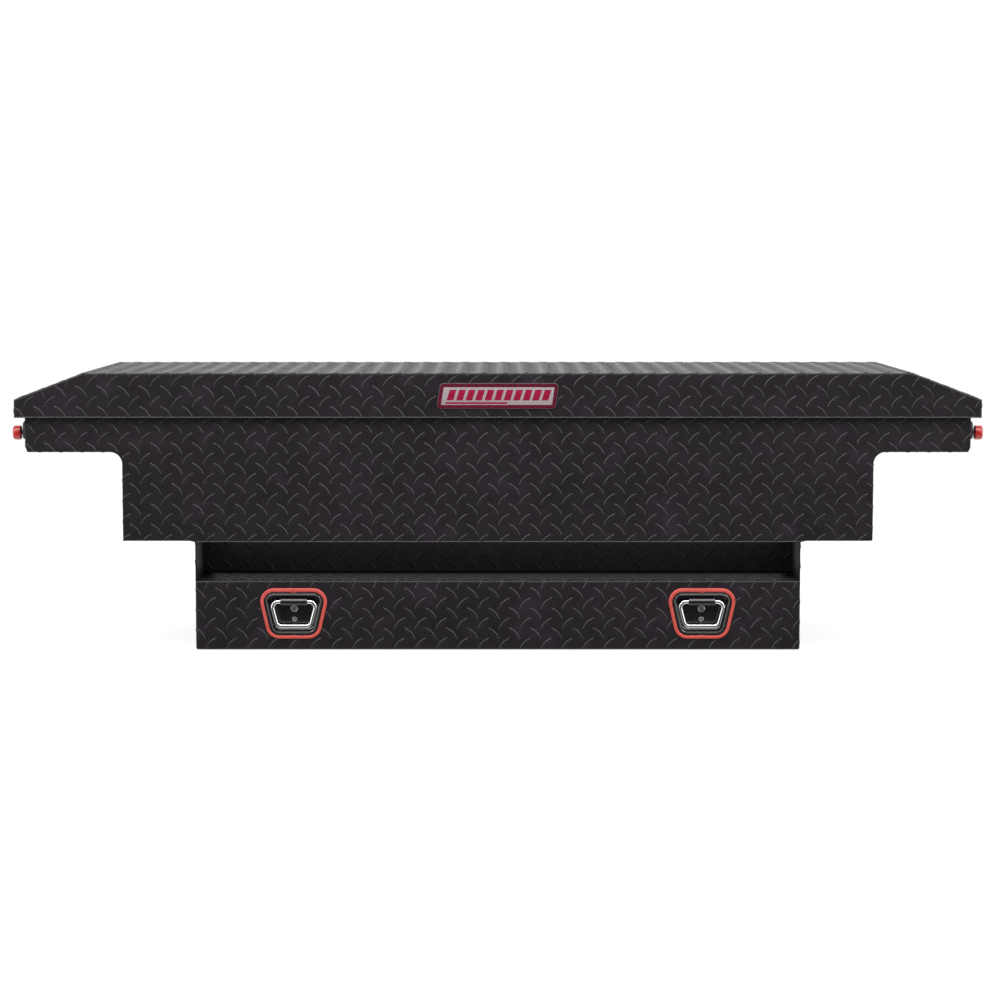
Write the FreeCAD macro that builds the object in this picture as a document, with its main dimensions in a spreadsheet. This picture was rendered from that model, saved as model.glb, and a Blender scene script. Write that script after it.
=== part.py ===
"""Full-size crossover tool box for a pickup bed, with a drawer under the tub.

Frame: millimetres, +X to the box's right seen from the drawer side, -Y towards the drawer
fronts, +Z up.  The origin is the middle of the footprint, on the plane the box stands on.
"""
import FreeCAD, Part
import os
import re
import Sketcher

# Driving dimensions in millimetres.  Half widths are measured from the box's middle plane.
SIZES = {
    # lid
    "lid_half": 908.0,
    "lid_deep": 257.0,
    "lid_bottom": 441.0,
    "lid_shoulder": 475.0,
    "lid_top": 525.0,
    "lid_flat_half": 777.0,
    # tub: two wings over the bed rails and a body between them
    "body_deep": 247.0,
    "wing_half": 889.0,
    "wing_top": 452.0,
    "wing_bottom": 376.0,
    "wing_bend": 23.0,
    "clip_across": 4.0,
    "clip_up": 10.0,
    "main_half": 707.0,
    "main_bottom": 208.0,
    "main_corner": 4.0,
    "header_bottom": 205.6,
    "header_run": 10.0,
    # lower unit with the drawer
    "unit_half": 571.5,
    "deck_top": 132.0,
    "ledge_deep": 140.0,
    "deck_lip": 12.5,
    "base_lip": 7.0,
    # sheet metal
    "sheet": 2.5,
    "thin": 2.0,
    "bend": 3.0,
    "rim_flange": 12.0,
    "foot_flange": 15.0,
    "seal_tall": 12.0,
    "seal_wide": 10.0,
    "seal_inset": 1.0,
    # lid pan and its stiffening channels
    "pan_bottom": 464.5,
    "pan_top": 466.5,
    "pan_half": 904.0,
    "pan_deep": 252.5,
    "channel_half": 30.0,
    "channel_foot": 20.0,
    "channel_step": 450.0,
    "channel_deep": 235.0,
    # piano hinge along the rear
    "hinge_y": 251.0,
    "hinge_z": 438.0,
    "hinge_pin_r": 1.5,
    "hinge_bore_r": 1.55,
    "knuckle_r": 3.6,
    "knuckle_pitch": 50.0,
    "knuckle_gap": 0.6,
    "hinge_half": 850.0,
    "leaf": 1.5,
    "leaf_tall": 26.0,
    "leaf_clear": 4.2,
    "knuckle_count": 17.0,
    "rivet_r": 3.6,
    "rivet_tall": 1.6,
    "rivet_shank_r": 2.0,
    "rivet_drop": 18.0,
    "rivet_rise": 21.0,
    # push buttons and the lid latch
    "button_y": 200.0,
    "button_z": 410.0,
    "button_r": 13.3,
    "button_back": 905.5,
    "button_end": 921.0,
    "button_round": 2.0,
    "stem_r": 4.0,
    "stem_hole_r": 7.5,
    "stem_end": 861.8,
    "stem_round": 3.5,
    "boss_r": 9.8,
    "boss_end": 900.5,
    "plate_end": 892.5,
    "plate_half": 19.0,
    "plate_low": 397.0,
    "plate_high": 437.0,
    "hood_tall": 11.0,
    "hood_end": 898.5,
    "spring_r": 5.9,
    "spring_wire_r": 0.7,
    "spring_pitch": 3.0,
    "spring_gap": 0.3,
    "lever_x": 856.0,
    "lever_z": 424.0,
    "lever_pin_r": 4.0,
    "lever_bore_r": 4.05,
    "lever_hub_r": 8.0,
    "lever_half_thick": 2.0,
    "hub_half_long": 4.5,
    "lever_half_wide": 5.0,
    "lever_low": 401.0,
    "lever_high": 461.5,
    "nose_low": 456.2,
    "nose_tip": 848.5,
    "arm_inner": 854.0,
    "link_drop": 14.0,
    "link_pin_r": 2.0,
    "link_slot_half": 1.2,
    "link_slot_r": 2.4,
    "rod_r": 3.0,
    "rod_reach": 842.0,
    "joggle_start": 780.0,
    "joggle_end": 730.0,
    "fork_tip": 861.0,
    "fork_half_tall": 4.5,
    "fork_half_wide": 4.3,
    "fork_slot_half": 2.3,
    "fork_slot_start": 847.5,
    "ear_inner": 5.0,
    "ear_outer": 8.0,
    "ear_half": 11.0,
    "ear_top": 432.0,
    "bracket_half": 18.0,
    "guide_half": 10.0,
    "guide_step": 450.0,
    "guide_bore_r": 3.4,
    "guide_reach": 50.0,
    "striker_face": 848.0,
    "striker_thick": 4.0,
    "striker_half": 14.0,
    "striker_low": 450.0,
    "window_low": 455.2,
    "window_high": 462.4,
    "window_half": 6.0,
    # gas struts
    "strut_x": 690.0,
    "strut_y": 173.0,
    "strut_foot_z": 265.0,
    "strut_head_z": 446.0,
    "strut_r": 9.0,
    "strut_bore_r": 7.5,
    "strut_low": 276.0,
    "strut_high": 395.0,
    "strut_rod_r": 4.0,
    "strut_rod_low": 283.0,
    "piston_r": 7.4,
    "piston_tall": 7.0,
    "eye_r": 8.0,
    "eye_half": 4.6,
    "stud_r": 4.0,
    "stud_clear": 0.05,
    "running_gap": 0.4,
    "foot_plate_half": 18.0,
    # drawer
    "front_deep": 20.0,
    "front_low": 1.0,
    "front_gap": 1.5,
    "notch_gap": 0.8,
    "front_corner": 4.0,
    "tray_half": 540.0,
    "tray_low": 8.0,
    "tray_high": 112.0,
    "tray_rear": 215.0,
    "tray_front": 190.0,
    "mat": 3.0,
    "mat_gap": 1.0,
    # telescoping drawer slides
    "slide_z": 60.0,
    "slide_front": 220.0,
    "slide_rear": 235.0,
    "slide_outer_half": 23.0,
    "slide_outer_lip": 552.0,
    "slide_middle_half": 20.4,
    "slide_middle_lip": 549.0,
    "slide_middle_web": 563.0,
    "slide_inner_half": 17.8,
    "slide_inner_lip": 558.0,
    "slide_sheet": 2.0,
    "slide_thin_sheet": 1.8,
    # drawer latches
    "handle_x": 386.0,
    "handle_low": 21.8,
    "handle_high": 118.1,
    "handle_low_half": 47.9,
    "handle_slope": 0.2274,
    "handle_secant": 1.0255,
    "gasket_round": 26.0,
    "gasket_band": 8.0,
    "gasket_thick": 3.0,
    "flange_inset": 8.6,
    "flange_thick": 2.2,
    "cutout_inset": 12.4,
    "dish_inset": 12.8,
    "dish_wall": 2.0,
    "dish_back": 226.0,
    "dish_floor": 228.0,
    "ring_wire_r": 4.0,
    "ring_bore_r": 4.06,
    "ring_y": 243.0,
    "ring_top": 91.7,
    "ring_bottom": 43.2,
    "ring_top_half": 41.5,
    "ring_bottom_half": 26.5,
    "ring_round": 11.0,
    "cap_half": 25.2,
    "cap_half_tall": 5.6,
    "cap_front": 249.0,
    "lock_z": 77.4,
    "lock_r": 6.5,
    "lock_bore_r": 6.56,
    "lock_front": 230.6,
    "lock_back": 218.0,
    "keyway_half": 0.9,
    "keyway_reach": 4.2,
    "keyway_deep": 2.0,
    "cam_front": 222.4,
    "cam_back": 219.9,
    "cam_half": 6.0,
    "cam_reach": 43.0,
    "bolt_x": 24.0,
    "bolt_half": 8.0,
    "bolt_front": 222.4,
    "bolt_back": 214.6,
    "bolt_low": 84.0,
    "bolt_high": 116.4,
    "bolt_slope": 5.0,
    "guide_wall": 2.4,
    "guide_low": 80.0,
    "guide_high": 106.0,
    "guide_back": 212.0,
    "screw_z": 56.5,
    "screw_r": 5.0,
    "screw_tall": 1.8,
    "screw_socket_r": 2.4,
    # sliding parts tray inside the tub
    "rail_top": 329.0,
    "rail_reach": 18.0,
    "rail_drop": 19.0,
    "parts_low": 329.3,
    "parts_high": 392.0,
    "parts_deep": 238.0,
    "parts_left": 650.0,
    "parts_right": 250.0,
    "parts_grip_half": 45.0,
    "parts_grip_low": 366.0,
    "parts_grip_high": 380.0,
    # holes for the bed clamps
    "clamp_x": 800.0,
    "clamp_y": 160.0,
    "clamp_r": 5.5,
    # badge
    "badge_half": 113.0,
    "badge_low": 457.5,
    "badge_high": 506.5,
    "badge_lean": 7.5,
    "badge_thick": 2.0,
    "badge_rim": 5.0,
    "badge_face": 1.2,
    "badge_round": 6.0,
}

doc = FreeCAD.newDocument("truck_tool_box")
sheet = doc.addObject("Spreadsheet::Sheet", "Sizes")
for line, (alias, size) in enumerate(SIZES.items(), start=1):
    sheet.set("A%d" % line, alias)
    sheet.set("B%d" % line, str(size))
    sheet.setAlias("B%d" % line, alias)
doc.recompute()
sub_parts = []


def bound(text):
    """The expression with every sheet alias written as a reference to the sheet."""
    def refer(word):
        return "Sizes." + word.group() if word.group() in SIZES else word.group()
    return re.sub(r"[a-z][a-z_]*", refer, text)


def number(text):
    """What an expression of sheet aliases comes to, in millimetres."""
    return float(sheet.evalExpression(bound(text)))


def sided(side, near, far):
    """Low and high X of a slab from near to far out, on the right (1) or mirrored on the left (-1)."""
    return (near, far) if side > 0 else ("-(%s)" % far, "-(%s)" % near)


def signed(side, text):
    """An X coordinate on the right side, or its mirror image."""
    return text if side > 0 else "-(%s)" % text


# ---- building blocks ------------------------------------------------------------------------


def new_body(label):
    """A sub-part made of sketched features; one label, one file."""
    body = doc.addObject("PartDesign::Body", label)
    body.Label = label
    body.AllowCompound = True
    sub_parts.append(body)
    return body


def origin_feature(body, role):
    return next(item for item in body.Origin.OriginFeatures if item.Role == role)


def new_sketch(body, role, level):
    """A sketch on one of the body's origin planes, moved to a level on the global axis."""
    sketch = body.newObject("Sketcher::SketchObject", body.Label + "_sketch")
    sketch.AttachmentSupport = (origin_feature(body, role), [""])
    sketch.MapMode = "FlatFace"
    facing = "-1" if role == "XZ_Plane" else "1"
    sketch.setExpression("AttachmentOffset.Base.z", bound("%s * (%s)" % (facing, level)))
    return sketch


def pin_point(sketch, geometry, end, corner):
    """Tie a point of the sketch to its two coordinates, each an expression."""
    for kind, axis, text in zip(("DistanceX", "DistanceY"), (-2, -1), corner):
        size = number(text)
        if abs(size) < 1e-9:
            sketch.addConstraint(Sketcher.Constraint("PointOnObject", geometry, end, axis))
        else:
            index = sketch.addConstraint(Sketcher.Constraint(kind, -1, 1, geometry, end, size))
            sketch.setExpression("Constraints[%d]" % index, bound(text))


def draw_polygon(sketch, corners):
    """A closed outline with straight sides."""
    first = sketch.GeometryCount
    points = [FreeCAD.Vector(number(across), number(up), 0) for across, up in corners]
    count = len(points)
    for index in range(count):
        sketch.addGeometry(Part.LineSegment(points[index], points[(index + 1) % count]), False)
    for index in range(count):
        follower = first + (index + 1) % count
        sketch.addConstraint(Sketcher.Constraint("Coincident", first + index, 2, follower, 1))
        pin_point(sketch, first + index, 1, corners[index])


def draw_circle(sketch, centre, radius):
    across, up = (number(text) for text in centre)
    circle = Part.Circle(FreeCAD.Vector(across, up, 0), FreeCAD.Vector(0, 0, 1), number(radius))
    index = sketch.addGeometry(circle, False)
    pin_point(sketch, index, 3, centre)
    size = sketch.addConstraint(Sketcher.Constraint("Radius", index, number(radius)))
    sketch.setExpression("Constraints[%d]" % size, bound(radius))


def rectangle(left, right, low, high):
    return [(left, low), (right, low), (right, high), (left, high)]


def extrude(body, role, low, high, draw, remove=False):
    """A slab between two levels of the plane's axis, added to the body or taken from it."""
    starts_high = (role == "XZ_Plane") != remove
    sketch = new_sketch(body, role, high if starts_high else low)
    draw(sketch)
    before = body.Shape.Volume if remove else 0
    kind = "PartDesign::Pocket" if remove else "PartDesign::Pad"
    feature = body.newObject(kind, body.Label + ("_pocket" if remove else "_pad"))
    feature.Profile = sketch
    feature.setExpression("Length", bound("(%s) - (%s)" % (high, low)))
    doc.recompute()
    if remove and feature.Shape.Volume > before - 1e-6:
        raise RuntimeError(body.Label + ": a pocket cuts nothing")
    return feature


def add_slab(body, role, low, high, corners):
    return extrude(body, role, low, high, lambda sketch: draw_polygon(sketch, corners))


def cut_slab(body, role, low, high, corners):
    return extrude(body, role, low, high, lambda sketch: draw_polygon(sketch, corners), remove=True)


def add_disc(body, role, low, high, centre, radius):
    return extrude(body, role, low, high, lambda sketch: draw_circle(sketch, centre, radius))


def cut_disc(body, role, low, high, centre, radius):
    return extrude(body, role, low, high, lambda sketch: draw_circle(sketch, centre, radius), remove=True)


def add_box(body, x, y, z):
    """A block given by its low and high ends along each axis."""
    return add_slab(body, "XY_Plane", z[0], z[1], rectangle(x[0], x[1], y[0], y[1]))


def cut_box(body, x, y, z):
    return cut_slab(body, "XY_Plane", z[0], z[1], rectangle(x[0], x[1], y[0], y[1]))


def straight_edges(shape, axis, spots):
    """Names of the straight edges along an axis that pass through the given spots."""
    index = "XYZ".index(axis)
    others = [item for item in range(3) if item != index]
    names = []
    for order, edge in enumerate(shape.Edges, start=1):
        ends = [vertex.Point for vertex in edge.Vertexes]
        if len(ends) != 2 or edge.Curve.TypeId != "Part::GeomLine":
            continue
        run = ends[1] - ends[0]
        if abs(abs(run[index]) - run.Length) > 1e-6:
            continue
        place = [ends[0][item] for item in others]
        if any(abs(place[0] - spot[0]) < 0.02 and abs(place[1] - spot[1]) < 0.02 for spot in spots):
            names.append("Edge%d" % order)
    return names


def round_edges(body, axis, spots, radius):
    """Fillet the edges along an axis at the given coordinates on the other two axes."""
    places = [(number(first), number(second)) for first, second in spots]
    names = straight_edges(body.Tip.Shape, axis, places)
    if len(names) < len(places):
        raise RuntimeError("%s: %d edges for %d places" % (body.Label, len(names), len(places)))
    base = body.Tip
    fillet = body.newObject("PartDesign::Fillet", body.Label + "_bend")
    fillet.Base = (base, names)
    fillet.setExpression("Radius", bound(radius))
    doc.recompute()
    return fillet


def round_circle(body, level, radius, rounding):
    """Fillet the circle of a given radius that lies at one X."""
    names = []
    for order, edge in enumerate(body.Tip.Shape.Edges, start=1):
        if edge.Curve.TypeId != "Part::GeomCircle":
            continue
        at_level = abs(edge.Curve.Center.x - number(level)) < 0.01
        if at_level and abs(edge.Curve.Radius - number(radius)) < 0.01:
            names.append("Edge%d" % order)
    base = body.Tip
    fillet = body.newObject("PartDesign::Fillet", body.Label + "_rim")
    fillet.Base = (base, names)
    fillet.setExpression("Radius", bound(rounding))
    doc.recompute()
    return fillet


def repeat(body, features, role, length, count):
    """Copies of features in a row along one of the body's origin axes."""
    pattern = body.newObject("PartDesign::LinearPattern", body.Label + "_row")
    pattern.Originals = features
    pattern.Direction = (origin_feature(body, role), [""])
    pattern.setExpression("Length", bound(length))
    pattern.setExpression("Occurrences", bound(count))
    body.Tip = pattern
    doc.recompute()
    return pattern


def mirror_all(body, features):
    """The same features again on the other side of the box's middle plane."""
    mirrored = body.newObject("PartDesign::Mirrored", body.Label + "_mirror")
    mirrored.Originals = features
    mirrored.MirrorPlane = (origin_feature(body, "YZ_Plane"), [""])
    body.Tip = mirrored
    doc.recompute()
    return mirrored


# ---- tub ------------------------------------------------------------------------------------


def tub_outline(bottom_middle):
    """The T-shaped face of the tub: a wing each side and the body, from left to right."""
    right = [
        ("main_half", "main_bottom"),
        ("main_half", "wing_bottom"),
        ("wing_half - clip_across", "wing_bottom"),
        ("wing_half", "wing_bottom + clip_up"),
        ("wing_half", "wing_top"),
    ]
    left = [(signed(-1, across), up) for across, up in reversed(right)]
    return left + bottom_middle + right


def make_tub_panel(label, side, bottom_middle, foot_runs):
    """The front (-1) or rear (1) panel with its rim and foot flanges turned inwards."""
    outer = "%d * body_deep" % side
    inner = "%d * (body_deep - sheet)" % side
    rim = "%d * (body_deep - rim_flange)" % side
    foot = "%d * (body_deep - foot_flange)" % side
    order = (lambda pair: pair) if side > 0 else (lambda pair: pair[::-1])
    body = new_body(label)
    add_slab(body, "XZ_Plane", *order((inner, outer)), tub_outline(bottom_middle))
    round_edges(body, "Y", [("-main_half", "wing_bottom"), ("main_half", "wing_bottom")], "wing_bend")
    round_edges(body, "Y", [("-main_half", "main_bottom"), ("main_half", "main_bottom")], "main_corner")
    rim_ends = ("-wing_half + rim_flange", "wing_half - rim_flange")
    add_box(body, rim_ends, order((rim, outer)), ("wing_top - sheet", "wing_top"))
    for foot_ends in foot_runs:
        add_box(body, foot_ends, order((foot, inner)), ("main_bottom", "main_bottom + sheet"))
    round_edges(body, "X", [(outer, "wing_top")], "bend")
    return body


def make_tub_end(label, side):
    """Side wall, wing floor and wing end, bent from one sheet, with a flange at the rim."""
    profile = [
        ("wing_half", "wing_top"),
        ("wing_half", "wing_bottom + clip_up"),
        ("wing_half - clip_across", "wing_bottom"),
        ("main_half", "wing_bottom"),
        ("main_half", "main_bottom + sheet"),
        ("main_half - sheet", "main_bottom + sheet"),
        ("main_half - sheet", "wing_bottom + sheet"),
        ("wing_half - clip_across - sheet / 2", "wing_bottom + sheet"),
        ("wing_half - sheet", "wing_bottom + clip_up + sheet / 4"),
        ("wing_half - sheet", "wing_top - sheet"),
        ("wing_half - rim_flange", "wing_top - sheet"),
        ("wing_half - rim_flange", "wing_top"),
    ]
    profile = [(signed(side, across), up) for across, up in profile]
    body = new_body(label)
    depth = ("-body_deep + sheet", "body_deep - sheet")
    add_slab(body, "XZ_Plane", *depth, profile)
    round_edges(body, "Y", [(signed(side, "main_half"), "wing_bottom")], "wing_bend")
    inside = (signed(side, "main_half - sheet"), "wing_bottom + sheet")
    round_edges(body, "Y", [inside], "wing_bend + sheet")
    round_edges(body, "Y", [(signed(side, "wing_half"), "wing_top")], "bend")
    wall = sided(side, "wing_half - 2 * sheet", "wing_half + sheet")
    cut_disc(body, "YZ_Plane", *wall, ("-button_y", "button_z"), "stem_hole_r")
    for place in ("-clamp_y", "clamp_y"):
        floor = ("wing_bottom - sheet", "wing_bottom + 2 * sheet")
        cut_disc(body, "XY_Plane", *floor, (signed(side, "clamp_x"), place), "clamp_r")
    return body


def make_tub_floor():
    """The floor in front of the well and either side of it."""
    body = new_body("tub_floor")
    level = ("main_bottom + sheet", "main_bottom + 2 * sheet")
    add_box(
        body,
        ("-main_half + sheet", "main_half - sheet"),
        ("-body_deep + sheet", "body_deep - sheet"),
        level,
    )
    cut_box(
        body,
        ("-unit_half + 2 * sheet", "unit_half - 2 * sheet"),
        ("-body_deep + ledge_deep + sheet", "body_deep - 2 * sheet"),
        level,
    )


def make_well_pan():
    """The deep part of the tub, behind the ledge and on top of the drawer bay."""
    body = new_body("well_pan")
    front = "-body_deep + ledge_deep"
    rear = "body_deep - sheet"
    top = "main_bottom + sheet"
    add_box(body, ("-unit_half + sheet", "unit_half - sheet"), (front, rear), ("deck_top", top))
    cut_box(
        body,
        ("-unit_half + 2 * sheet", "unit_half - 2 * sheet"),
        (front + " + sheet", rear + " - sheet"),
        ("deck_top + sheet", top),
    )
    round_edges(body, "X", [(front, "deck_top"), (rear, "deck_top")], "bend")


def make_weather_seal():
    """Hollow bulb seal on the rim."""
    body = new_body("weather_seal")
    level = ("wing_top", "wing_top + seal_tall")
    half = ("-wing_half + seal_inset", "wing_half - seal_inset")
    deep = ("-body_deep + seal_inset", "body_deep - seal_inset")
    add_box(body, half, deep, level)
    cut_box(
        body,
        (half[0] + " + seal_wide", half[1] + " - seal_wide"),
        (deep[0] + " + seal_wide", deep[1] + " - seal_wide"),
        level,
    )
    top = "wing_top + seal_tall"
    round_edges(body, "X", [(deep[0], top), (deep[1], top)], "seal_wide * 0.4")


# ---- lower unit -----------------------------------------------------------------------------


def make_bay_side(label, side):
    """End plate of the drawer bay; above the deck it also closes the end of the ledge."""
    body = new_body(label)
    outline = [
        ("-body_deep + front_deep + front_gap", "0"),
        ("body_deep - sheet", "0"),
        ("body_deep - sheet", "main_bottom"),
        ("-body_deep + sheet", "main_bottom"),
        ("-body_deep + sheet", "deck_top + notch_gap"),
        ("-body_deep + front_deep + front_gap", "deck_top + notch_gap"),
    ]
    add_slab(body, "YZ_Plane", *sided(side, "unit_half - sheet", "unit_half"), outline)


def make_bay_sheets():
    """Base, rear panel and deck of the drawer bay."""
    inside = ("-unit_half + sheet", "unit_half - sheet")
    front = "-body_deep + front_deep + front_gap"
    rear = "body_deep - sheet"
    base = new_body("bay_base")
    add_box(base, inside, (front, rear), ("0", "sheet"))
    add_box(base, inside, (front, front + " + sheet"), ("0", "base_lip"))
    panel = new_body("bay_rear_panel")
    add_box(panel, ("-unit_half", "unit_half"), (rear, "body_deep"), ("0", "main_bottom"))
    deck = new_body("bay_deck")
    add_box(deck, inside, (front, rear), ("deck_top - sheet", "deck_top"))
    keeper = ("deck_top - sheet - deck_lip", "deck_top")
    add_box(deck, inside, (front, front + " + sheet"), keeper)
    round_edges(deck, "X", [(front, "deck_top")], "sheet / 2")


def channel_section(web, lip, half, thick):
    """A C section: web at one X, flanges reaching to another."""
    turn = "+" if number(lip) > number(web) else "-"
    face = "%s %s %s" % (web, turn, thick)
    low = "slide_z - %s" % half
    high = "slide_z + %s" % half
    return [
        (web, low),
        (lip, low),
        (lip, "%s + %s" % (low, thick)),
        (face, "%s + %s" % (low, thick)),
        (face, "%s - %s" % (high, thick)),
        (lip, "%s - %s" % (high, thick)),
        (lip, high),
        (web, high),
    ]


def make_slide_members():
    """Three nested channels each side: fixed to the bay, floating, fixed to the drawer."""
    run = ("-slide_front", "slide_rear")
    bay_wall = "unit_half - sheet"
    outer = channel_section(bay_wall, "slide_outer_lip", "slide_outer_half", "slide_sheet")
    for label, side in (("slide_outer_left", -1), ("slide_outer_right", 1)):
        body = new_body(label)
        add_slab(body, "XZ_Plane", *run, [(signed(side, across), up) for across, up in outer])
    web, lip = "slide_middle_web", "slide_middle_lip"
    middle = channel_section(web, lip, "slide_middle_half", "slide_thin_sheet")
    inner = channel_section("tray_half", "slide_inner_lip", "slide_inner_half", "slide_thin_sheet")
    pairs = (("slide_middle_pair", middle, "slide_rear"), ("slide_inner_pair", inner, "tray_rear"))
    for label, section, rear in pairs:
        body = new_body(label)
        right = add_slab(body, "XZ_Plane", "-slide_front", rear, section)
        mirror_all(body, [right])


# ---- hinge ----------------------------------------------------------------------------------


def make_hinge():
    """A piano hinge: knuckles of the two leaves take turns along one pin."""
    long_step = "knuckle_pitch * 2 * (knuckle_count - 1)"
    on_tub = ("body_deep", "body_deep + leaf")
    on_lid = ("lid_deep - sheet - leaf", "lid_deep - sheet")
    leaves = (
        ("hinge_leaf_tub", "-hinge_half", on_tub, -1),
        ("hinge_leaf_lid", "-hinge_half + knuckle_pitch", on_lid, 1),
    )
    axle = ("hinge_y", "hinge_z")
    past_ends = ("-hinge_half - 1", "hinge_half + 1")
    for label, start, thick, way in leaves:
        body = new_body(label)
        near = "hinge_z + %d * leaf_clear" % way
        far = "hinge_z + %d * (leaf_clear + leaf_tall)" % way
        low, high = (near, far) if way > 0 else (far, near)
        add_box(body, ("-hinge_half", "hinge_half"), thick, (low, high))
        end = start + " + knuckle_pitch - knuckle_gap"
        tab_low, tab_high = ("hinge_z", near) if way > 0 else (near, "hinge_z")
        tab = add_box(body, (start, end), thick, (tab_low, tab_high))
        barrel = add_disc(body, "YZ_Plane", start, end, axle, "knuckle_r")
        repeat(body, [tab, barrel], "X_Axis", long_step, "knuckle_count")
        cut_disc(body, "YZ_Plane", *past_ends, axle, "hinge_bore_r")
    pin = new_body("hinge_pin")
    add_disc(pin, "YZ_Plane", *past_ends, axle, "hinge_pin_r")


def make_rivet_row(label, head, shank, height):
    """Domed rivets through a hinge leaf and the sheet behind it."""
    body = new_body(label)
    first = ("-hinge_half + knuckle_pitch", height)
    parts = [
        add_disc(body, "XZ_Plane", *head, first, "rivet_r"),
        add_disc(body, "XZ_Plane", *shank, first, "rivet_shank_r"),
    ]
    repeat(body, parts, "X_Axis", "2 * hinge_half - 2 * knuckle_pitch", "knuckle_count")


# ---- lid ------------------------------------------------------------------------------------


def make_lid():
    """Folded skin with sloping ends, a pan under it and channels between the two."""
    skin = new_body("lid_skin")
    outline = [
        ("-lid_half", "lid_bottom"),
        ("-lid_half", "lid_shoulder"),
        ("-lid_flat_half", "lid_top"),
        ("lid_flat_half", "lid_top"),
        ("lid_half", "lid_shoulder"),
        ("lid_half", "lid_bottom"),
    ]
    add_slab(skin, "XZ_Plane", "-lid_deep", "lid_deep", outline)
    edges = []
    for order, edge in enumerate(skin.Tip.Shape.Edges, start=1):
        middle = edge.CenterOfMass
        lifted = middle.z > number("lid_bottom") + 1
        along_front = abs(abs(middle.y) - number("lid_deep")) < 0.01
        if lifted and along_front:
            edges.append("Edge%d" % order)
    base = skin.Tip
    bends = skin.newObject("PartDesign::Fillet", "lid_bends")
    bends.Base = (base, edges)
    bends.setExpression("Radius", bound("bend"))
    doc.recompute()
    bottom = min(enumerate(skin.Tip.Shape.Faces, start=1), key=lambda item: item[1].CenterOfMass.z)
    shell = skin.newObject("PartDesign::Thickness", "lid_shell")
    shell.Base = (bends, ["Face%d" % bottom[0]])
    shell.setExpression("Value", bound("sheet"))
    shell.Reversed = True
    doc.recompute()

    pan = new_body("lid_inner_pan")
    add_box(pan, ("-pan_half", "pan_half"), ("-pan_deep", "pan_deep"), ("pan_bottom", "pan_top"))

    channels = new_body("lid_stiffeners")
    top = "lid_top - sheet"
    hat = [
        ("-channel_half - channel_foot", "pan_top"),
        ("-channel_half", "pan_top"),
        ("-channel_half", "%s - thin" % top),
        ("channel_half", "%s - thin" % top),
        ("channel_half", "pan_top"),
        ("channel_half + channel_foot", "pan_top"),
        ("channel_half + channel_foot", "pan_top + thin"),
        ("channel_half + thin", "pan_top + thin"),
        ("channel_half + thin", top),
        ("-channel_half - thin", top),
        ("-channel_half - thin", "pan_top + thin"),
        ("-channel_half - channel_foot", "pan_top + thin"),
    ]
    first = [("%s - channel_step" % across, up) for across, up in hat]
    channel = add_slab(channels, "XZ_Plane", "-channel_deep", "channel_deep", first)
    repeat(channels, [channel], "X_Axis", "2 * channel_step", "3")


def badge_corners(inset):
    """A parallelogram that leans to the right."""
    low = "badge_low + %s" % inset
    high = "badge_high - %s" % inset
    return [
        ("-badge_half - badge_lean / 2 + %s" % inset, low),
        ("badge_half - badge_lean / 2 - %s" % inset, low),
        ("badge_half + badge_lean / 2 - %s" % inset, high),
        ("-badge_half + badge_lean / 2 + %s" % inset, high),
    ]


def make_badge():
    """A plain plate on the lid's front with a coloured panel in its rim."""
    plate = new_body("badge_plate")
    add_slab(plate, "XZ_Plane", "-lid_deep - badge_thick", "-lid_deep", badge_corners("0"))
    round_edges(plate, "Y", badge_corners("0"), "badge_round")
    panel = new_body("badge_panel")
    face = ("-lid_deep - badge_thick - badge_face", "-lid_deep - badge_thick")
    add_slab(panel, "XZ_Plane", *face, badge_corners("badge_rim / 2"))
    round_edges(panel, "Y", badge_corners("badge_rim / 2"), "badge_round - badge_rim / 2")


# ---- lid latch ------------------------------------------------------------------------------


def make_push_button(label, side):
    """Round button with its stem, which reaches the latch lever inside."""
    body = new_body(label)
    centre = ("-button_y", "button_z")
    add_disc(body, "YZ_Plane", *sided(side, "button_back", "button_end"), centre, "button_r")
    add_disc(body, "YZ_Plane", *sided(side, "stem_end", "button_back"), centre, "stem_r")
    round_circle(body, signed(side, "button_end"), "button_r", "button_round")
    round_circle(body, signed(side, "stem_end"), "stem_r", "stem_round")


def make_escutcheons():
    """Plate and collar round each button."""
    body = new_body("button_escutcheons")
    centre = ("-button_y", "button_z")
    across = ("-button_y - plate_half", "-button_y + plate_half")
    plate_sides = rectangle(*across, "plate_low", "plate_high")
    plate = add_slab(body, "YZ_Plane", "wing_half", "plate_end", plate_sides)
    collar = add_disc(body, "YZ_Plane", "wing_half", "boss_end", centre, "boss_r")
    hood_sides = rectangle(*across, "plate_high - hood_tall", "plate_high")
    hood = add_slab(body, "YZ_Plane", "wing_half", "hood_end", hood_sides)
    hole = cut_disc(body, "YZ_Plane", "wing_half - 1", "boss_end + 1", centre, "stem_hole_r")
    mirror_all(body, [plate, collar, hood, hole])


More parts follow.
